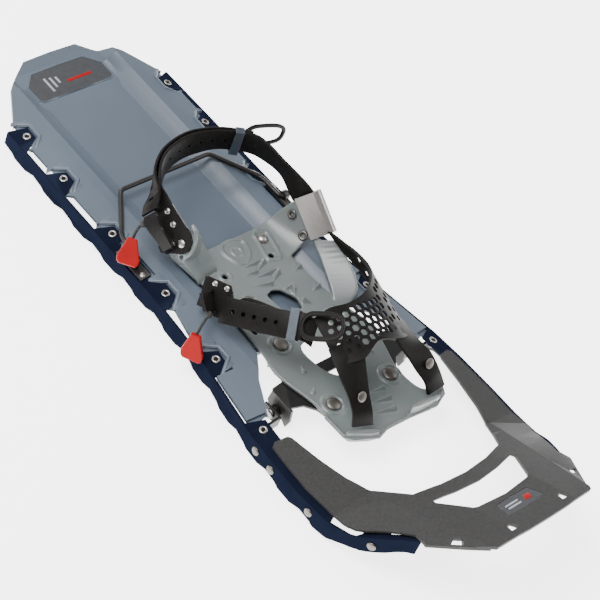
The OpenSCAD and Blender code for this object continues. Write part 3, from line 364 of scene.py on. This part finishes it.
def soften(line, times=2, cut=0.25):
    """Rounds the corners of a closed outline."""
    for _ in range(times):
        new = []
        for i, a in enumerate(line):
            b = line[(i + 1) % len(line)]
            new += [[a[0] + (b[0] - a[0]) * cut, a[1] + (b[1] - a[1]) * cut],
                    [a[0] + (b[0] - a[0]) * (1 - cut), a[1] + (b[1] - a[1]) * (1 - cut)]]
        line = new
    return line


def prism(centre, normal, r, depth, sides, turn=0.0):
    """Closed prism through centre along normal."""
    n = unit(normal)
    u = n.orthogonal().normalized() if abs(n.x) > 0.99 else (Vector((1, 0, 0)) - n * n.x).normalized()
    v = n.cross(u)
    rings = [[Vector(centre) + n * s * depth / 2 + (u * math.cos(a) + v * math.sin(a)) * r
              for a in [turn + 2 * math.pi * i / sides for i in range(sides)]] for s in (-1, 1)]
    return loft(rings)


def cut(o, cutters, solver="EXACT"):
    """Subtracts closed shapes in millimetres from o."""
    verts, faces = joined(*cutters)
    c = build("cutter", verts, faces, RUBBER)
    b = o.modifiers.new("cut", "BOOLEAN")
    b.operation, b.solver, b.object = "DIFFERENCE", solver, c
    bake(o)
    bpy.data.objects.remove(c)


# ------------------------------------------------------------------ cradle
BED_Z = 21.2  # middle of the foot bed's sheet
SHEET = 3  # thickness of the foot bed and its wings
BEAD_Z = 22.6  # middle of the beads that stand on the foot bed
RING_Z = 22.5  # the same for the rings round its rivets and stud
VOXEL = 0.6  # size of the remesh that joins the moulding into one skin
# Outline of the foot bed, and of its openings
PLATE = [[40, -54], [45.5, -54], [45.3, -48], [45, -26], [45, 11], [46, 36], [46.5, 48], [50, 58], [49, 73],
         [41, 100], [42.5, 115], [42.5, 135], [39, 138.5], [20, 147], [8, 142.5], [-15, 143.5], [-40, 147],
         [-55, 141], [-61, 133], [-45, 131], [-40, 122], [-39, 104], [-44, 90], [-49, 73], [-50, 56], [-46, 46],
         [-42, 28], [-38.5, 10], [-38.5, -20], [-39, -48], [-39, -54], [-34, -54]]
WINDOW = [[18, 55], [9, 50], [-6, 53], [-17, 62], [-14, 78], [-7, 90], [6, 90], [15, 78]]
HEXAGON = [[6.3, 3], [-1.2, 0.5], [-7.5, 3.5], [-14, 15.5], [-11, 26], [4, 20]]
SLOT = [[36.3, 18.5], [40.3, 18.5], [40.3, 28.5], [36.3, 28.5]]


def circle(x, y, r, n=20):
    return [[x + r * math.cos(2 * math.pi * i / n), y + r * math.sin(2 * math.pi * i / n)] for i in range(n)]


def tube(points, r, sides=8):
    """Round bar of radius r through points."""
    rings = []
    for i, p in enumerate(points):
        a, b = Vector(points[max(i - 1, 0)]), Vector(points[min(i + 1, len(points) - 1)])
        d = (b - a).normalized()
        u = d.cross(Vector((0, 0, 1)) if abs(d.z) < 0.9 else Vector((1, 0, 0))).normalized()
        v = d.cross(u)
        turns = [2 * math.pi * k / sides for k in range(sides)]
        rings.append([Vector(p) + r * (u * math.cos(a) + v * math.sin(a)) for a in turns])
    return loft(rings)


def ring_bead(x, y, radius, r, n=28):
    """Raised ring on the foot bed: radius to the middle of a bead of radius r."""
    turns = [2 * math.pi * i / n for i in range(n + 1)]
    return tube([[x + radius * math.cos(a), y + radius * math.sin(a), RING_Z] for a in turns], r)


def wing(rows, t):
    """Curved sheet of thickness t through rows of two edge points."""
    flat = catmull([[*a, *b] for a, b in rows], 8)
    rings = []
    for i, r in enumerate(flat):
        a, b = flat[max(i - 1, 0)], flat[min(i + 1, len(flat) - 1)]
        n = (Vector(b[:3]) - Vector(a[:3])).cross(Vector(r[3:]) - Vector(r[:3])).normalized() * (t / 2)
        p, q = Vector(r[:3]), Vector(r[3:])
        rings.append([p + n, q + n, q - n, p - n])
    return loft(rings)


RIB_WIDEN, RIB_RAISE = 1.3, 2.3  # the remesh and the smoothing soften the spikes, so they start out bigger


def rib(x0, y0, x1, y1, wide, high):
    """Raised spike on the foot bed: blunt at the first point, running out at the second."""
    a, b = Vector((x0, y0, 21.8)), Vector((x1, y1, 22.2))
    side = (b - a).cross(Vector((0, 0, 1))).normalized() * (wide * RIB_WIDEN)
    top = Vector((0, 0, high * RIB_RAISE))
    return ([a + side, a - side, b + side * 0.12, b - side * 0.12, a + top, b],
            [(0, 1, 3, 2), (0, 4, 1), (0, 2, 5, 4), (1, 4, 5, 3), (2, 3, 5)])


# Wings, from the foot bed upwards. L and R in names are as in the photograph: L is the buckle side, at +X. The front
# of the left wing is built as two sheets that share the middle points of its rows.
RWING = [[(-34, -54, BED_Z), (-34, -18, BED_Z)], [(-43, -54.5, 24.6), (-43, -19.5, 24.2)],
         [(-50, -52.5, 33), (-50.5, -21, 28)], [(-55.5, -47, 48), (-56, -20, 33)],
         [(-63, -39.5, 60), (-63, -13.5, 46)]]
LFRONT = [[(47.5, -30, BED_Z), (38.5, -33, BED_Z), (26, -34, BED_Z)],
          [(48.3, -31.5, 25), (40.5, -34.5, 26), (27, -36, 25.6)],
          [(52.3, -38.5, 31), (43, -39.5, 33), (29, -42, 31)],
          [(55, -46, 36.7), (46, -43, 40), (32, -47, 38)],
          [(52.3, -44, 43), (46.5, -44, 45.5), (35, -53, 46)],
          [(48, -45, 50), (44, -48, 51.5), (38.2, -57, 52)],
          [(44.5, -50, 54.2), (43.5, -54, 55.5), (41.8, -59.2, 57)]]
LWING = [[(40, -54, BED_Z), (38, -30, BED_Z)], [(50, -55, 24.8), (46.5, -32, 24.4)],
         [(54.6, -61, 32), (51.5, -40, 31)], [heel(8, 10, -3.5), heel(-7, 7, -3.5)],
         [heel(12, 0, -3.5), heel(-9, -1, -3.5)], [heel(11, -8, -3.5), heel(-5, -9, -3.5)]]
BAND = [[(-59.7, -10, 38.6), (-4.6, 7.4, 4.8)], [(-56.5, 10, 32.5), (-7, 7, 4)],
        [(-50.5, 28, 27.2), (-7.4, 7.1, 2.5)], [(-42.5, 36, 21.4), (-4, 4, 0)]]
RIVETS = [(28.5, 44.6), (-28.5, 44.6), (29.5, 106.4), (-29.5, 106.4)]
STUD = (23.8, -26.3)
STUD_TWIN = (-23.8, -26.3)
parts = [plate([soften(PLATE), soften(WINDOW), soften(HEXAGON, 1, 0.12), soften(SLOT, 1), circle(*STUD, 2.2),
                circle(*STUD_TWIN, 2.2)], SHEET, 0.9, Matrix.Translation((0, 0, BED_Z)), 1),
         wing(RWING, SHEET), wing(LWING, SHEET), wing([r[:2] for r in LFRONT], 2.8),
         wing([r[1:] for r in LFRONT], 2.8), strap(BAND, SHEET)]
parts += [ring_bead(x, y, 8.6, 1.4) for x, y in RIVETS]
parts.append(ring_bead(*STUD, 4.4, 1.2))
# capsule boss round the stud and its second hole, plain badge with a ring
for outline, r in (([[-24, -48.5], [-29.5, -50.2], [-35, -47], [-35, -42], [-30.2, -24], [-25.5, -20.3], [-19.5, -23],
                     [-19, -27.5], [-23, -43]], 1.6),
                   ([[7, -51], [-3, -52.4], [-12.2, -47.8], [-8.5, -35], [-1, -29.8], [5.5, -31.5], [10, -43]], 1.7),
                   (circle(-1, -41.5, 4.2, 12), 1.2)):
    line = catmull(outline, 4, True)
    parts.append(tube([[x, y, BEAD_Z] for x, y in line + line[:1]], r))
# chevrons and spikes of the foot bed
parts += [rib(*r) for r in (
    (-13.6, -24.5, 13, -27, 2.9, 2.7), (-13, -24, 1, -17, 3, 2.7), (-2, -18, 13, -21, 2.7, 2.2),
    (-17.5, -11.8, 10, -15, 3, 2.9), (-17, -11, -2.5, -2.5, 3.1, 2.9), (-5, -3.5, 14.5, -10.5, 2.8, 2.3),
    (-37, -7, -28.5, -5.8, 3, 2.6), (-17.5, 5.5, -8.5, 4.5, 3.2, 3), (-16.5, 7, -12.5, 15.5, 2.8, 2.6),
    (-37, 15, -28.5, 16.5, 3, 2.8), (-16, 20, -22, 28, 3, 2.6), (24, -2, 12, 1, 2.6, 2.4), (14, 22, 22, 31, 2.6, 2.2),
    (-28, 52, -22, 60, 2, 1.6), (-16, 114, 2, 111, 2.4, 2), (-14, 123, 8, 119, 2.8, 2.4), (-10, 132, 12, 127, 3, 2.6),
    (37, 92, 30, 86, 2, 1.5), (30, 74, 26, 66, 2, 1.5), (-32, 84, -26, 76, 2.2, 1.7))]
# toe cup: low walls in front of the strap legs, a rounded rim round the toe
parts += [plate([soften([[18, 142.4], [42, 131.5], [42.6, 134.8], [20.6, 146.4]], 1)], 9, 1,
                Matrix.Translation((0, 0, 25)), 1),
          plate([soften([[-15.4, 140], [-42, 142.2], [-43.6, 145.8], [-15.4, 143.4]], 1)], 13, 1,
                Matrix.Translation((0, 0, 27)), 1),
          tube([[42.3, 112, 22], [42.6, 133, 23.4], [38, 138.4, 24], [20, 146.4, 24.6], [8, 142.6, 22.6],
                [-14, 143.2, 22.8], [-40, 146.4, 25], [-54, 140.6, 23.6], [-59, 133.6, 22]], 1.7)]
verts, faces = joined(*parts)
cradle = build("cradle_moulding", verts, faces, GREY)
remesh = cradle.modifiers.new("remesh", "REMESH")
remesh.mode, remesh.voxel_size = "VOXEL", VOXEL * MM
smooth = cradle.modifiers.new("smooth", "SMOOTH")
smooth.factor, smooth.iterations = 0.5, 5
bake(cradle)
dress(cradle, GREY, "binding", ["cradle"], 180)

# ------------------------------------------------------------------ net over the toes
NET = [[(-60, -11, 47.8), (-61, 6, 43.5)], [(-60.5, 3, 50.5), (-60.5, 28, 43.5)], [(-60, 19, 54), (-60, 54, 40)],
       [(-55, 36, 59), (-54, 76, 45)], [(-43, 49, 65), (-44, 96, 51)], [(-24.5, 60, 72), (-26, 102, 61.2)],
       [(-2, 65, 76), (-4, 99, 68.6)], [(15, 61, 74.5), (14, 104, 63.6)], [(27, 60, 68.5), (31, 96, 57.5)]]
ACROSS = 16  # faces across the net
NET_HALF, HEM_HALF = 0.95, 1.3  # half thickness of the net, and of the hems along its edges
FIRST_HOLE, LAST_GAP = 34, 7  # from the wing end to the first holes, and what is left bare at the buckle end
EDGE = 5.2  # least distance from the middle of a hole to an edge of the net
PITCH = 7.0  # of the holes, along the net
net_rows = catmull([[*a, *b] for a, b in NET], 8)
net_len = [0]  # length along the middle line at each row
for a, b in zip(net_rows, net_rows[1:]):
    mid = [(b[j] + b[j + 3] - a[j] - a[j + 3]) / 2 for j in range(3)]
    net_len.append(net_len[-1] + math.sqrt(sum(c * c for c in mid)))


def net_at(s, w):
    """Point, normal and width of the net: s along it, w across from its middle line."""
    i = max(j for j in range(len(net_len) - 1) if net_len[j] <= s or j == 0)
    t = (s - net_len[i]) / (net_len[i + 1] - net_len[i])
    r = [x + (y - x) * t for x, y in zip(net_rows[i], net_rows[i + 1])]
    p, q = Vector(r[:3]), Vector(r[3:])
    wide = (q - p).length
    along = (Vector(net_rows[i + 1][:3]) + Vector(net_rows[i + 1][3:])
             - Vector(net_rows[i][:3]) - Vector(net_rows[i][3:]))
    return (p + q) / 2 + (q - p) / wide * w, along.cross(q - p).normalized(), wide


rings = []
for i, s in enumerate(net_len):
    top, low = [], []
    p, q = Vector(net_rows[i][:3]), Vector(net_rows[i][3:])
    n = net_at(min(s, net_len[-1] - 0.01), 0)[1]
    for j in range(ACROSS + 1):
        at = p + (q - p) * j / ACROSS
        thick = HEM_HALF if j in (0, 1, ACROSS) else NET_HALF
        top.append(at + n * thick)
        low.append(at - n * thick)
    rings.append(top + low[::-1])
verts, faces = loft(rings, False)
ring, last = len(rings[0]), (len(rings) - 1) * len(rings[0])
faces += [(base + j, base + j + 1, base + ring - 2 - j, base + ring - 1 - j)
          for base in (0, last) for j in range(ACROSS)]
net = build("toe_net", verts, faces, RUBBER)
# Hexagonal holes in staggered rows. Where the net bends in its own plane, a hole that would run into another one is
# left out
holes, centres = [], []
row, w = 0, -30.0
while w < 30:
    s = FIRST_HOLE + (PITCH / 2 if row % 2 else 0)
    while s < net_len[-1] - LAST_GAP:
        c, n, wide = net_at(s, w)
        stretch = (net_at(min(s + 3, net_len[-1] - 0.1), w)[0] - c).length / 3
        if abs(w) < wide / 2 - EDGE:
            r = min(2.2 if s > net_len[-1] - 24 else 2.95, PITCH * stretch * 0.43)
            if r > 1.2 and all((c - q).length > r + other + 0.6 for q, other in centres):
                centres.append((c, r))
                holes.append(prism(c, n, r, 6, 6, math.pi / 6))
        s += PITCH
    w += PITCH * 0.866
    row += 1
cut(net, holes, "MANIFOLD")
rounded(net, 0.22, 1, 50)
dress(net, RUBBER, "binding", ["toe_strap"])

STRAP = 2.4  # thickness of the straps
# Legs of the net, down to the rivets in front of the toe
RLEG = [[(-35, 88, 59.5), (13.5, 3, 7)], [(-36.6, 101, 54.6), (12.4, 3, 4.6)], [(-39, 113, 50.2), (10.6, 2.8, 0.8)],
        [(-40.5, 121, 47), (9.5, 2.5, -2)], [(-43, 131, 40), (9, 1.5, -0.5)], [(-45.5, 137.6, 30), (9.5, 0.5, 0)]]
LLEG = [[(19.5, 86, 65.4), (11.5, -2, -3.4)], [(22, 98, 61.2), (11.5, -2, -3.2)], [(25, 108.5, 56), (10.2, -2, -2.2)],
        [(28, 120, 49.5), (8, -2.5, -1)], [(29.5, 130, 41), (7.5, -3, 0)], [(29.5, 135, 31), (8, -3, 0)]]
legs = build("toe_legs", *joined(strap(RLEG, STRAP), strap(LLEG, STRAP)), RUBBER)
dress(legs, RUBBER, "binding")

# ------------------------------------------------------------------ toe strap and its tail
TAIL = [[(31, 68.8, 62.2), (6, 5, -5.5)], [(35, 60.8, 63.9), (5.5, 6.2, -5.6)], [(38.7, 55.1, 61.9), (5.4, 5.9, -6)],
        [(44.5, 45.3, 57.1), (5.2, 5.5, -6.6)], [(53.5, 17, 45.6), (4.9, 4.1, -7.7)],
        [buckle(11, 0, -1.8), 10 * BY], [buckle(2, 0, -1.5), 10 * BY], [buckle(-11, 0, -1.5), 10 * BY]]
END = [[(61.4, 7.2, 41.2), (5, 4.4, -7.5)], [(59, 15, 45), (5, 4.6, -7.3)], [(46.6, 45.5, 59.2), (5.2, 5.5, -6.6)],
       [(40.8, 55.3, 64), (5.4, 5.9, -6)], [(37.5, 61, 66.7), (5.5, 6.2, -5.6)]]
# Outline of the finger loop at the end of each strap, and of its opening
GRIP = [[-1, -9.5], [22, -10.5], [34, -9], [40, -5], [40, 5], [34, 9], [22, 10.5], [-1, 9.5]]
GRIP_IN = [[2.2, -6.6], [22, -7.3], [32.8, -6.1], [36.8, -3.3], [36.8, 3.3], [32.8, 6.1], [22, 7.3], [2.2, 6.6]]
dress(build("toe_strap_lower", *strap(TAIL, STRAP), RUBBER), RUBBER, "binding")
tail = build("toe_strap_end", *strap(END, STRAP), RUBBER)
spots = [Vector((59, 15, 45)).lerp(Vector((47, 45, 59)), i / 4) for i in range(5)]
cut(tail, [prism(p, (0.788, 0.083, 0.616), 1.75, 12, 16) for p in spots])
dress(tail, RUBBER, "binding", ["toe_strap_tail"])
TX = unit((-13.4, 20.6, 12.4))
TZ = unit(TX.cross(Vector((6.9, 8, -3.4))))
grip = axes(TX, TZ.cross(TX), TZ, (38.7, 60, 67.6)) @ Matrix.Diagonal((0.8, 1.15, 1, 1))
dress(build("toe_grip", *plate([soften(GRIP), soften(GRIP_IN)], 2.6, 0.8, grip), RUBBER), RUBBER, "binding")

# ------------------------------------------------------------------ heel strap: inner band, outer layer, finger loop
UP = 10.0  # half the strap's width, where it stands upright
HEEL_IN = [[(-62.6, -37, 51.5), (-2.5, 1, 9)], [(-58.8, -49, 57), (-2, 1, UP)],
           [(-57.2, -69, 63), (2.5, 0.5, 9.6)], [(-53, -85.5, 66.3), (1.5, 0.5, UP)],
           [(-46.8, -98.1, 67), (0, 0, UP)], [(-28.6, -111.6, 66.5), (0, 0, UP)], [(-9.6, -118, 65.2), (0, -1.6, UP)],
           [(6.5, -119, 64), (0, -2, UP)], [(24, -114.5, 62.5), (1, -2, UP)], [(36, -106, 60), (1.5, -1.5, UP)],
           [heel(45, 4, -3.2), (-1, 0.6, 9)], [heel(36, 3, -3.2), -6.8 * HY], [heel(13.5, 1, -3.2), -6.5 * HY]]
band = build("heel_band", *strap(HEEL_IN, STRAP, 8), RUBBER)
path = catmull([[*c, *w] for c, w in HEEL_IN], 8)
HOLE_STEP = 9.5  # least distance between two holes, along the band
HOLES_FROM, HOLES_TO = 24, 76  # points of the path that the holes lie between
marks, run = [], 0.0
for a, b in zip(path[HOLES_FROM:], path[HOLES_FROM + 1:HOLES_TO]):
    run += (Vector(b[:3]) - Vector(a[:3])).length
    if run > HOLE_STEP:
        run = 0
        n = (Vector(b[:3]) - Vector(a[:3])).cross(Vector(b[3:])).normalized()
        marks.append((Vector(b[:3]), n))
cut(band, [prism(c, n, 1.1, 10, 12) for c, n in marks])
dress(band, RUBBER, "binding", ["heel_strap"])
OUT = [[heel(30.5, 9.5, 9), -7 * HY], [heel(36, 7, 6.5), -7.5 * HY], [heel(42, 4.5, 3.5), (-2.4, 1.6, 8.9)],
       [heel(49, 2.5, 0.8), (0.2, -0.5, 9.8)],
       [(39, -108.4, 61), (1.5, -1.5, UP)], [(25.2, -117.4, 63), (1, -2, UP)], [(6.8, -121.9, 64.4), (0, -2, UP)],
       [(-10.6, -120.9, 65.4), (0, -1.6, UP)], [(-30.2, -113.9, 66.6), (0, 0, UP)], [(-48.4, -100.2, 67), (0, 0, UP)]]
outer = build("heel_tail", *strap(OUT, 2.2, 8), RUBBER)
path = catmull([[*c, *w] for c, w in OUT], 8)
SLOT_STEP = 8.6  # the same for the slots of the outer layer
SLOTS_FROM, SLOTS_TO = 2, 34
slots, run = [], 0.0
for a, b in zip(path[SLOTS_FROM:], path[SLOTS_FROM + 1:SLOTS_TO]):
    step = Vector(b[:3]) - Vector(a[:3])
    run += step.length
    if run > SLOT_STEP:
        run = 0
        n = step.cross(Vector(b[3:])).normalized()
        along, side = step.normalized(), Vector(b[3:]).normalized()
        ring = [along * u + side * v for u, v in ((-1.1, -2.6), (1.1, -2.6), (1.1, 2.6), (-1.1, 2.6))]
        slots.append(loft([[Vector(b[:3]) + q + n * d for q in ring] for d in (-5, 5)]))
cut(outer, slots)
dress(outer, RUBBER, "binding")
turn = (Matrix.Translation((-48.5, -107.5, 65.5)) @ Matrix.Rotation(math.radians(170), 4, "Z")
        @ Matrix.Rotation(math.radians(82), 4, "X") @ Matrix.Rotation(math.radians(-10), 4, "Z"))
dress(build("heel_grip", *joined(plate([soften(GRIP), soften(GRIP_IN)], 2.6, 0.8, turn),
                                 strap([[(-46.2, -98.4, 66.9), (0, 0, 8.8)], [(-49, -107.4, 65.5), (0, 0, 8)]], 2.3)),
            RUBBER), RUBBER, "binding")

# ------------------------------------------------------------------ deck: beads, fills and coves
# A bead is pressed into the deck round each flange tab, and the shelf under and beside the tab is filled. A cove
# softens the foot of each wall of the sunken floor.
RAIL_BEND = [(-224, 81), (-150, 82), (-38, 82), (0, 84.3), (28, 87.7), (60, 93), (90, 97.8), (117, 100)]


def bend_x(y):
    """X of the right rail's bend at y."""
    for (y0, x0), (y1, x1) in zip(RAIL_BEND, RAIL_BEND[1:]):
        if y <= y1:
            return x0 + (x1 - x0) * (y - y0) / (y1 - y0)
    return RAIL_BEND[-1][1]


SLOPE = math.tan(math.radians(12.7))  # of the shelf along each rail
EYELET_X, EYELET_Z = 72.4, 18.16  # line of the rear eyelets, on the shelf


def shelf_z(x, y):
    """Height of the right shelf at x, y. It slopes down to the rail, across the line that the eyelets stand on."""
    line = EYELET_X if y < -30 else EYELET_X + (y + 30) * 0.0966 if y < 28 else 78 + (y - 28) * 0.163
    return EYELET_Z + (line - x) * SLOPE


def bead(points, r):
    """Low ridge on the shelf through points, sunk at both ends."""
    rings = []
    for i, (x, y) in enumerate(points):
        a, b = Vector(points[max(i - 1, 0)]), Vector(points[min(i + 1, len(points) - 1)])
        d = (b - a).normalized()
        nrm = Vector((d.y, -d.x))
        p = Vector((x, y, shelf_z(abs(x), y) - (1.6 if i in (0, len(points) - 1) else 0)))
        side = Vector((nrm.x, nrm.y, -nrm.x * SLOPE * (1 if x > 0 else -1)))
        rings.append([p + side * r - Vector((0, 0, 0.5)), p + side * r * 0.45 + Vector((0, 0, 1.3)),
                      p - side * r * 0.45 + Vector((0, 0, 1.3)), p - side * r - Vector((0, 0, 0.5))])
    return loft(rings)


# Y of each tab, half its length, how far the bead runs in from the bend, and half the length of its seat
TABS = ((-213, 6.5, 17.5, 12.7), (-163, 6.5, 17.5, 13.7), (-102, 6.5, 17.5, 14.7), (-38, 6.5, 17.5, 16.7),
        (28.1, 6, 17.5, 13.7))
SEAT_IN, SEAT_OUT = 17.4, 7.4  # inner and outer edge of the fill under a tab, measured in from the bend
beads = []
for sx in (-1, 1):
    for y, half, inner, seat in TABS:
        under = [(bend_x(y) - SEAT_IN, y - seat), (bend_x(y) - SEAT_IN, y + seat), (bend_x(y) - SEAT_OUT, y + seat),
                 (bend_x(y) - SEAT_OUT, y - seat)]
        beads.append(loft([[Vector((sx * x, yy, shelf_z(x, yy) - d)) for x, yy in under] for d in (2.7, 1.8)]))
        for sy in (-1, 1):
            reach = inner - 11 * min(1, (seat - half) / 9.5)
            tri = [(bend_x(y) - SEAT_IN, y + sy * seat), (bend_x(y) - SEAT_IN, y + sy * (half - 0.3)),
                   (bend_x(y + sy * seat) - reach, y + sy * seat)]
            beads.append(loft([[Vector((sx * x, yy, shelf_z(x, yy) + d)) for x, yy in tri] for d in (-2.6, 0.03)]))
        pts = [(bend_x(y - half - 9) - 6.5, y - half - 9.5), (bend_x(y) - inner, y - half),
               (bend_x(y) - inner, y + half), (bend_x(y + half + 9) - 6.5, y + half + 9.5)]
        beads.append(bead([(sx * x, yy) for x, yy in pts], 2.0))
for sx in (-1, 1):
    coves = [[(x0, y, 15.03), (x0 + 4, y, 16.1), (45, y, 19), (50.3, y, 22.58), (50.3, y, 21.4), (43, y, 14.6)]
             for y, x0 in ((-256, 38.4), (-236, 38.4), (-226, 35.6), (-100, 35.2), (35.5, 35.2))]
    beads.append(loft([[Vector((sx * x, y, z)) for x, y, z in ring] for ring in coves]))
dress(rounded(build("deck_beads", *joined(*beads), DECK), 0.5), DECK, "frame", [], 24)

# Black discs sunk in the tubular rivets, placed from the CAD eyelets, are painted shade for their hollow bores; and a
# fine rim round the tail badge
EYELETS_Y = (-212.3, -164.1, -102.1, -37.6, 28.1, 95.4)
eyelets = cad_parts["deck_eyelets"]
spots = [eyelets.matrix_world @ v.co / MM for v in eyelets.data.vertices]
bore_shade_discs = []
for sx in (-1, 1):
    for y in EYELETS_Y:
        near = [q for q in spots if q.x * sx > 0 and abs(q.y - y) < 5]
        c, n = sum(near, Vector()) / len(near), Vector((sx * SLOPE, 0, 1)).normalized()
        bore_shade_discs.append(prism(c + n * (max((q - c).dot(n) for q in near) - 0.45), n, 1.6, 0.6, 16))
# the black plastic here is painted shade standing in for the rivets' deep bores, not a part of them
dress(build("eyelet_bore_shade", *joined(*bore_shade_discs), BLACK), BLACK, "frame")
BADGE_Y = -253
RIM = [[0, 15], [34, 15], [37, 12], [37, -3], [26, -14.5], [0, -15]]
RIM += [[-x, y] for x, y in RIM[::-1][1:-1]]
dress(build("tail_badge_rim", *tube([[x, y + BADGE_Y, 15.1] for x, y in RIM + RIM[:1]], 0.55), DECK), DECK, "frame")

# ------------------------------------------------------------------ plain stripes on the two badges


def stripes(name, place, rows, mat):
    """Flat bars from rows of (x, y, width, height, lean)."""
    parts = [plate([[[x - w / 2, y - h / 2], [x + w / 2, y - h / 2], [x + w / 2 + lean, y + h / 2],
                     [x - w / 2 + lean, y + h / 2]]], 0.2, 0.05, place, 1) for x, y, w, h, lean in rows]
    dress(build(name, *joined(*parts), mat), mat, "frame")


TAIL_FACE = Matrix.Translation((0, BADGE_Y, 15.25))
NOSE_FACE = Matrix.Translation((0, 255, 66.55)) @ Matrix.Rotation(math.atan(0.47), 4, "X")
stripes("tail_badge_bars", TAIL_FACE, [(19, 1, 2, 15, 0), (14, 0, 2, 11, 0), (9, -1, 2, 7, 0)], PALE)
stripes("tail_badge_stripe", TAIL_FACE, [(-10, 3, 24, 2.6, 0)], RED)
stripes("nose_badge_bars", NOSE_FACE, [(6, 1.5, 13, 1.6, 1), (6, -1.8, 13, 1.6, 1)], PALE)
stripes("nose_badge_stripe", NOSE_FACE, [(-9, 0, 6, 5.4, 2)], RED)

# ------------------------------------------------------------------ floor
CELLS, FLOOR_HALF = 24, 3000
lines = [-FLOOR_HALF + 2 * FLOOR_HALF * i / CELLS for i in range(CELLS + 1)]
flo = build("floor", [(x, y, -0.05) for x in lines for y in lines],
            [(i * (CELLS + 1) + j, i * (CELLS + 1) + j + 1, (i + 1) * (CELLS + 1) + j + 1, (i + 1) * (CELLS + 1) + j)
             for i in range(CELLS) for j in range(CELLS)], floor_mat)
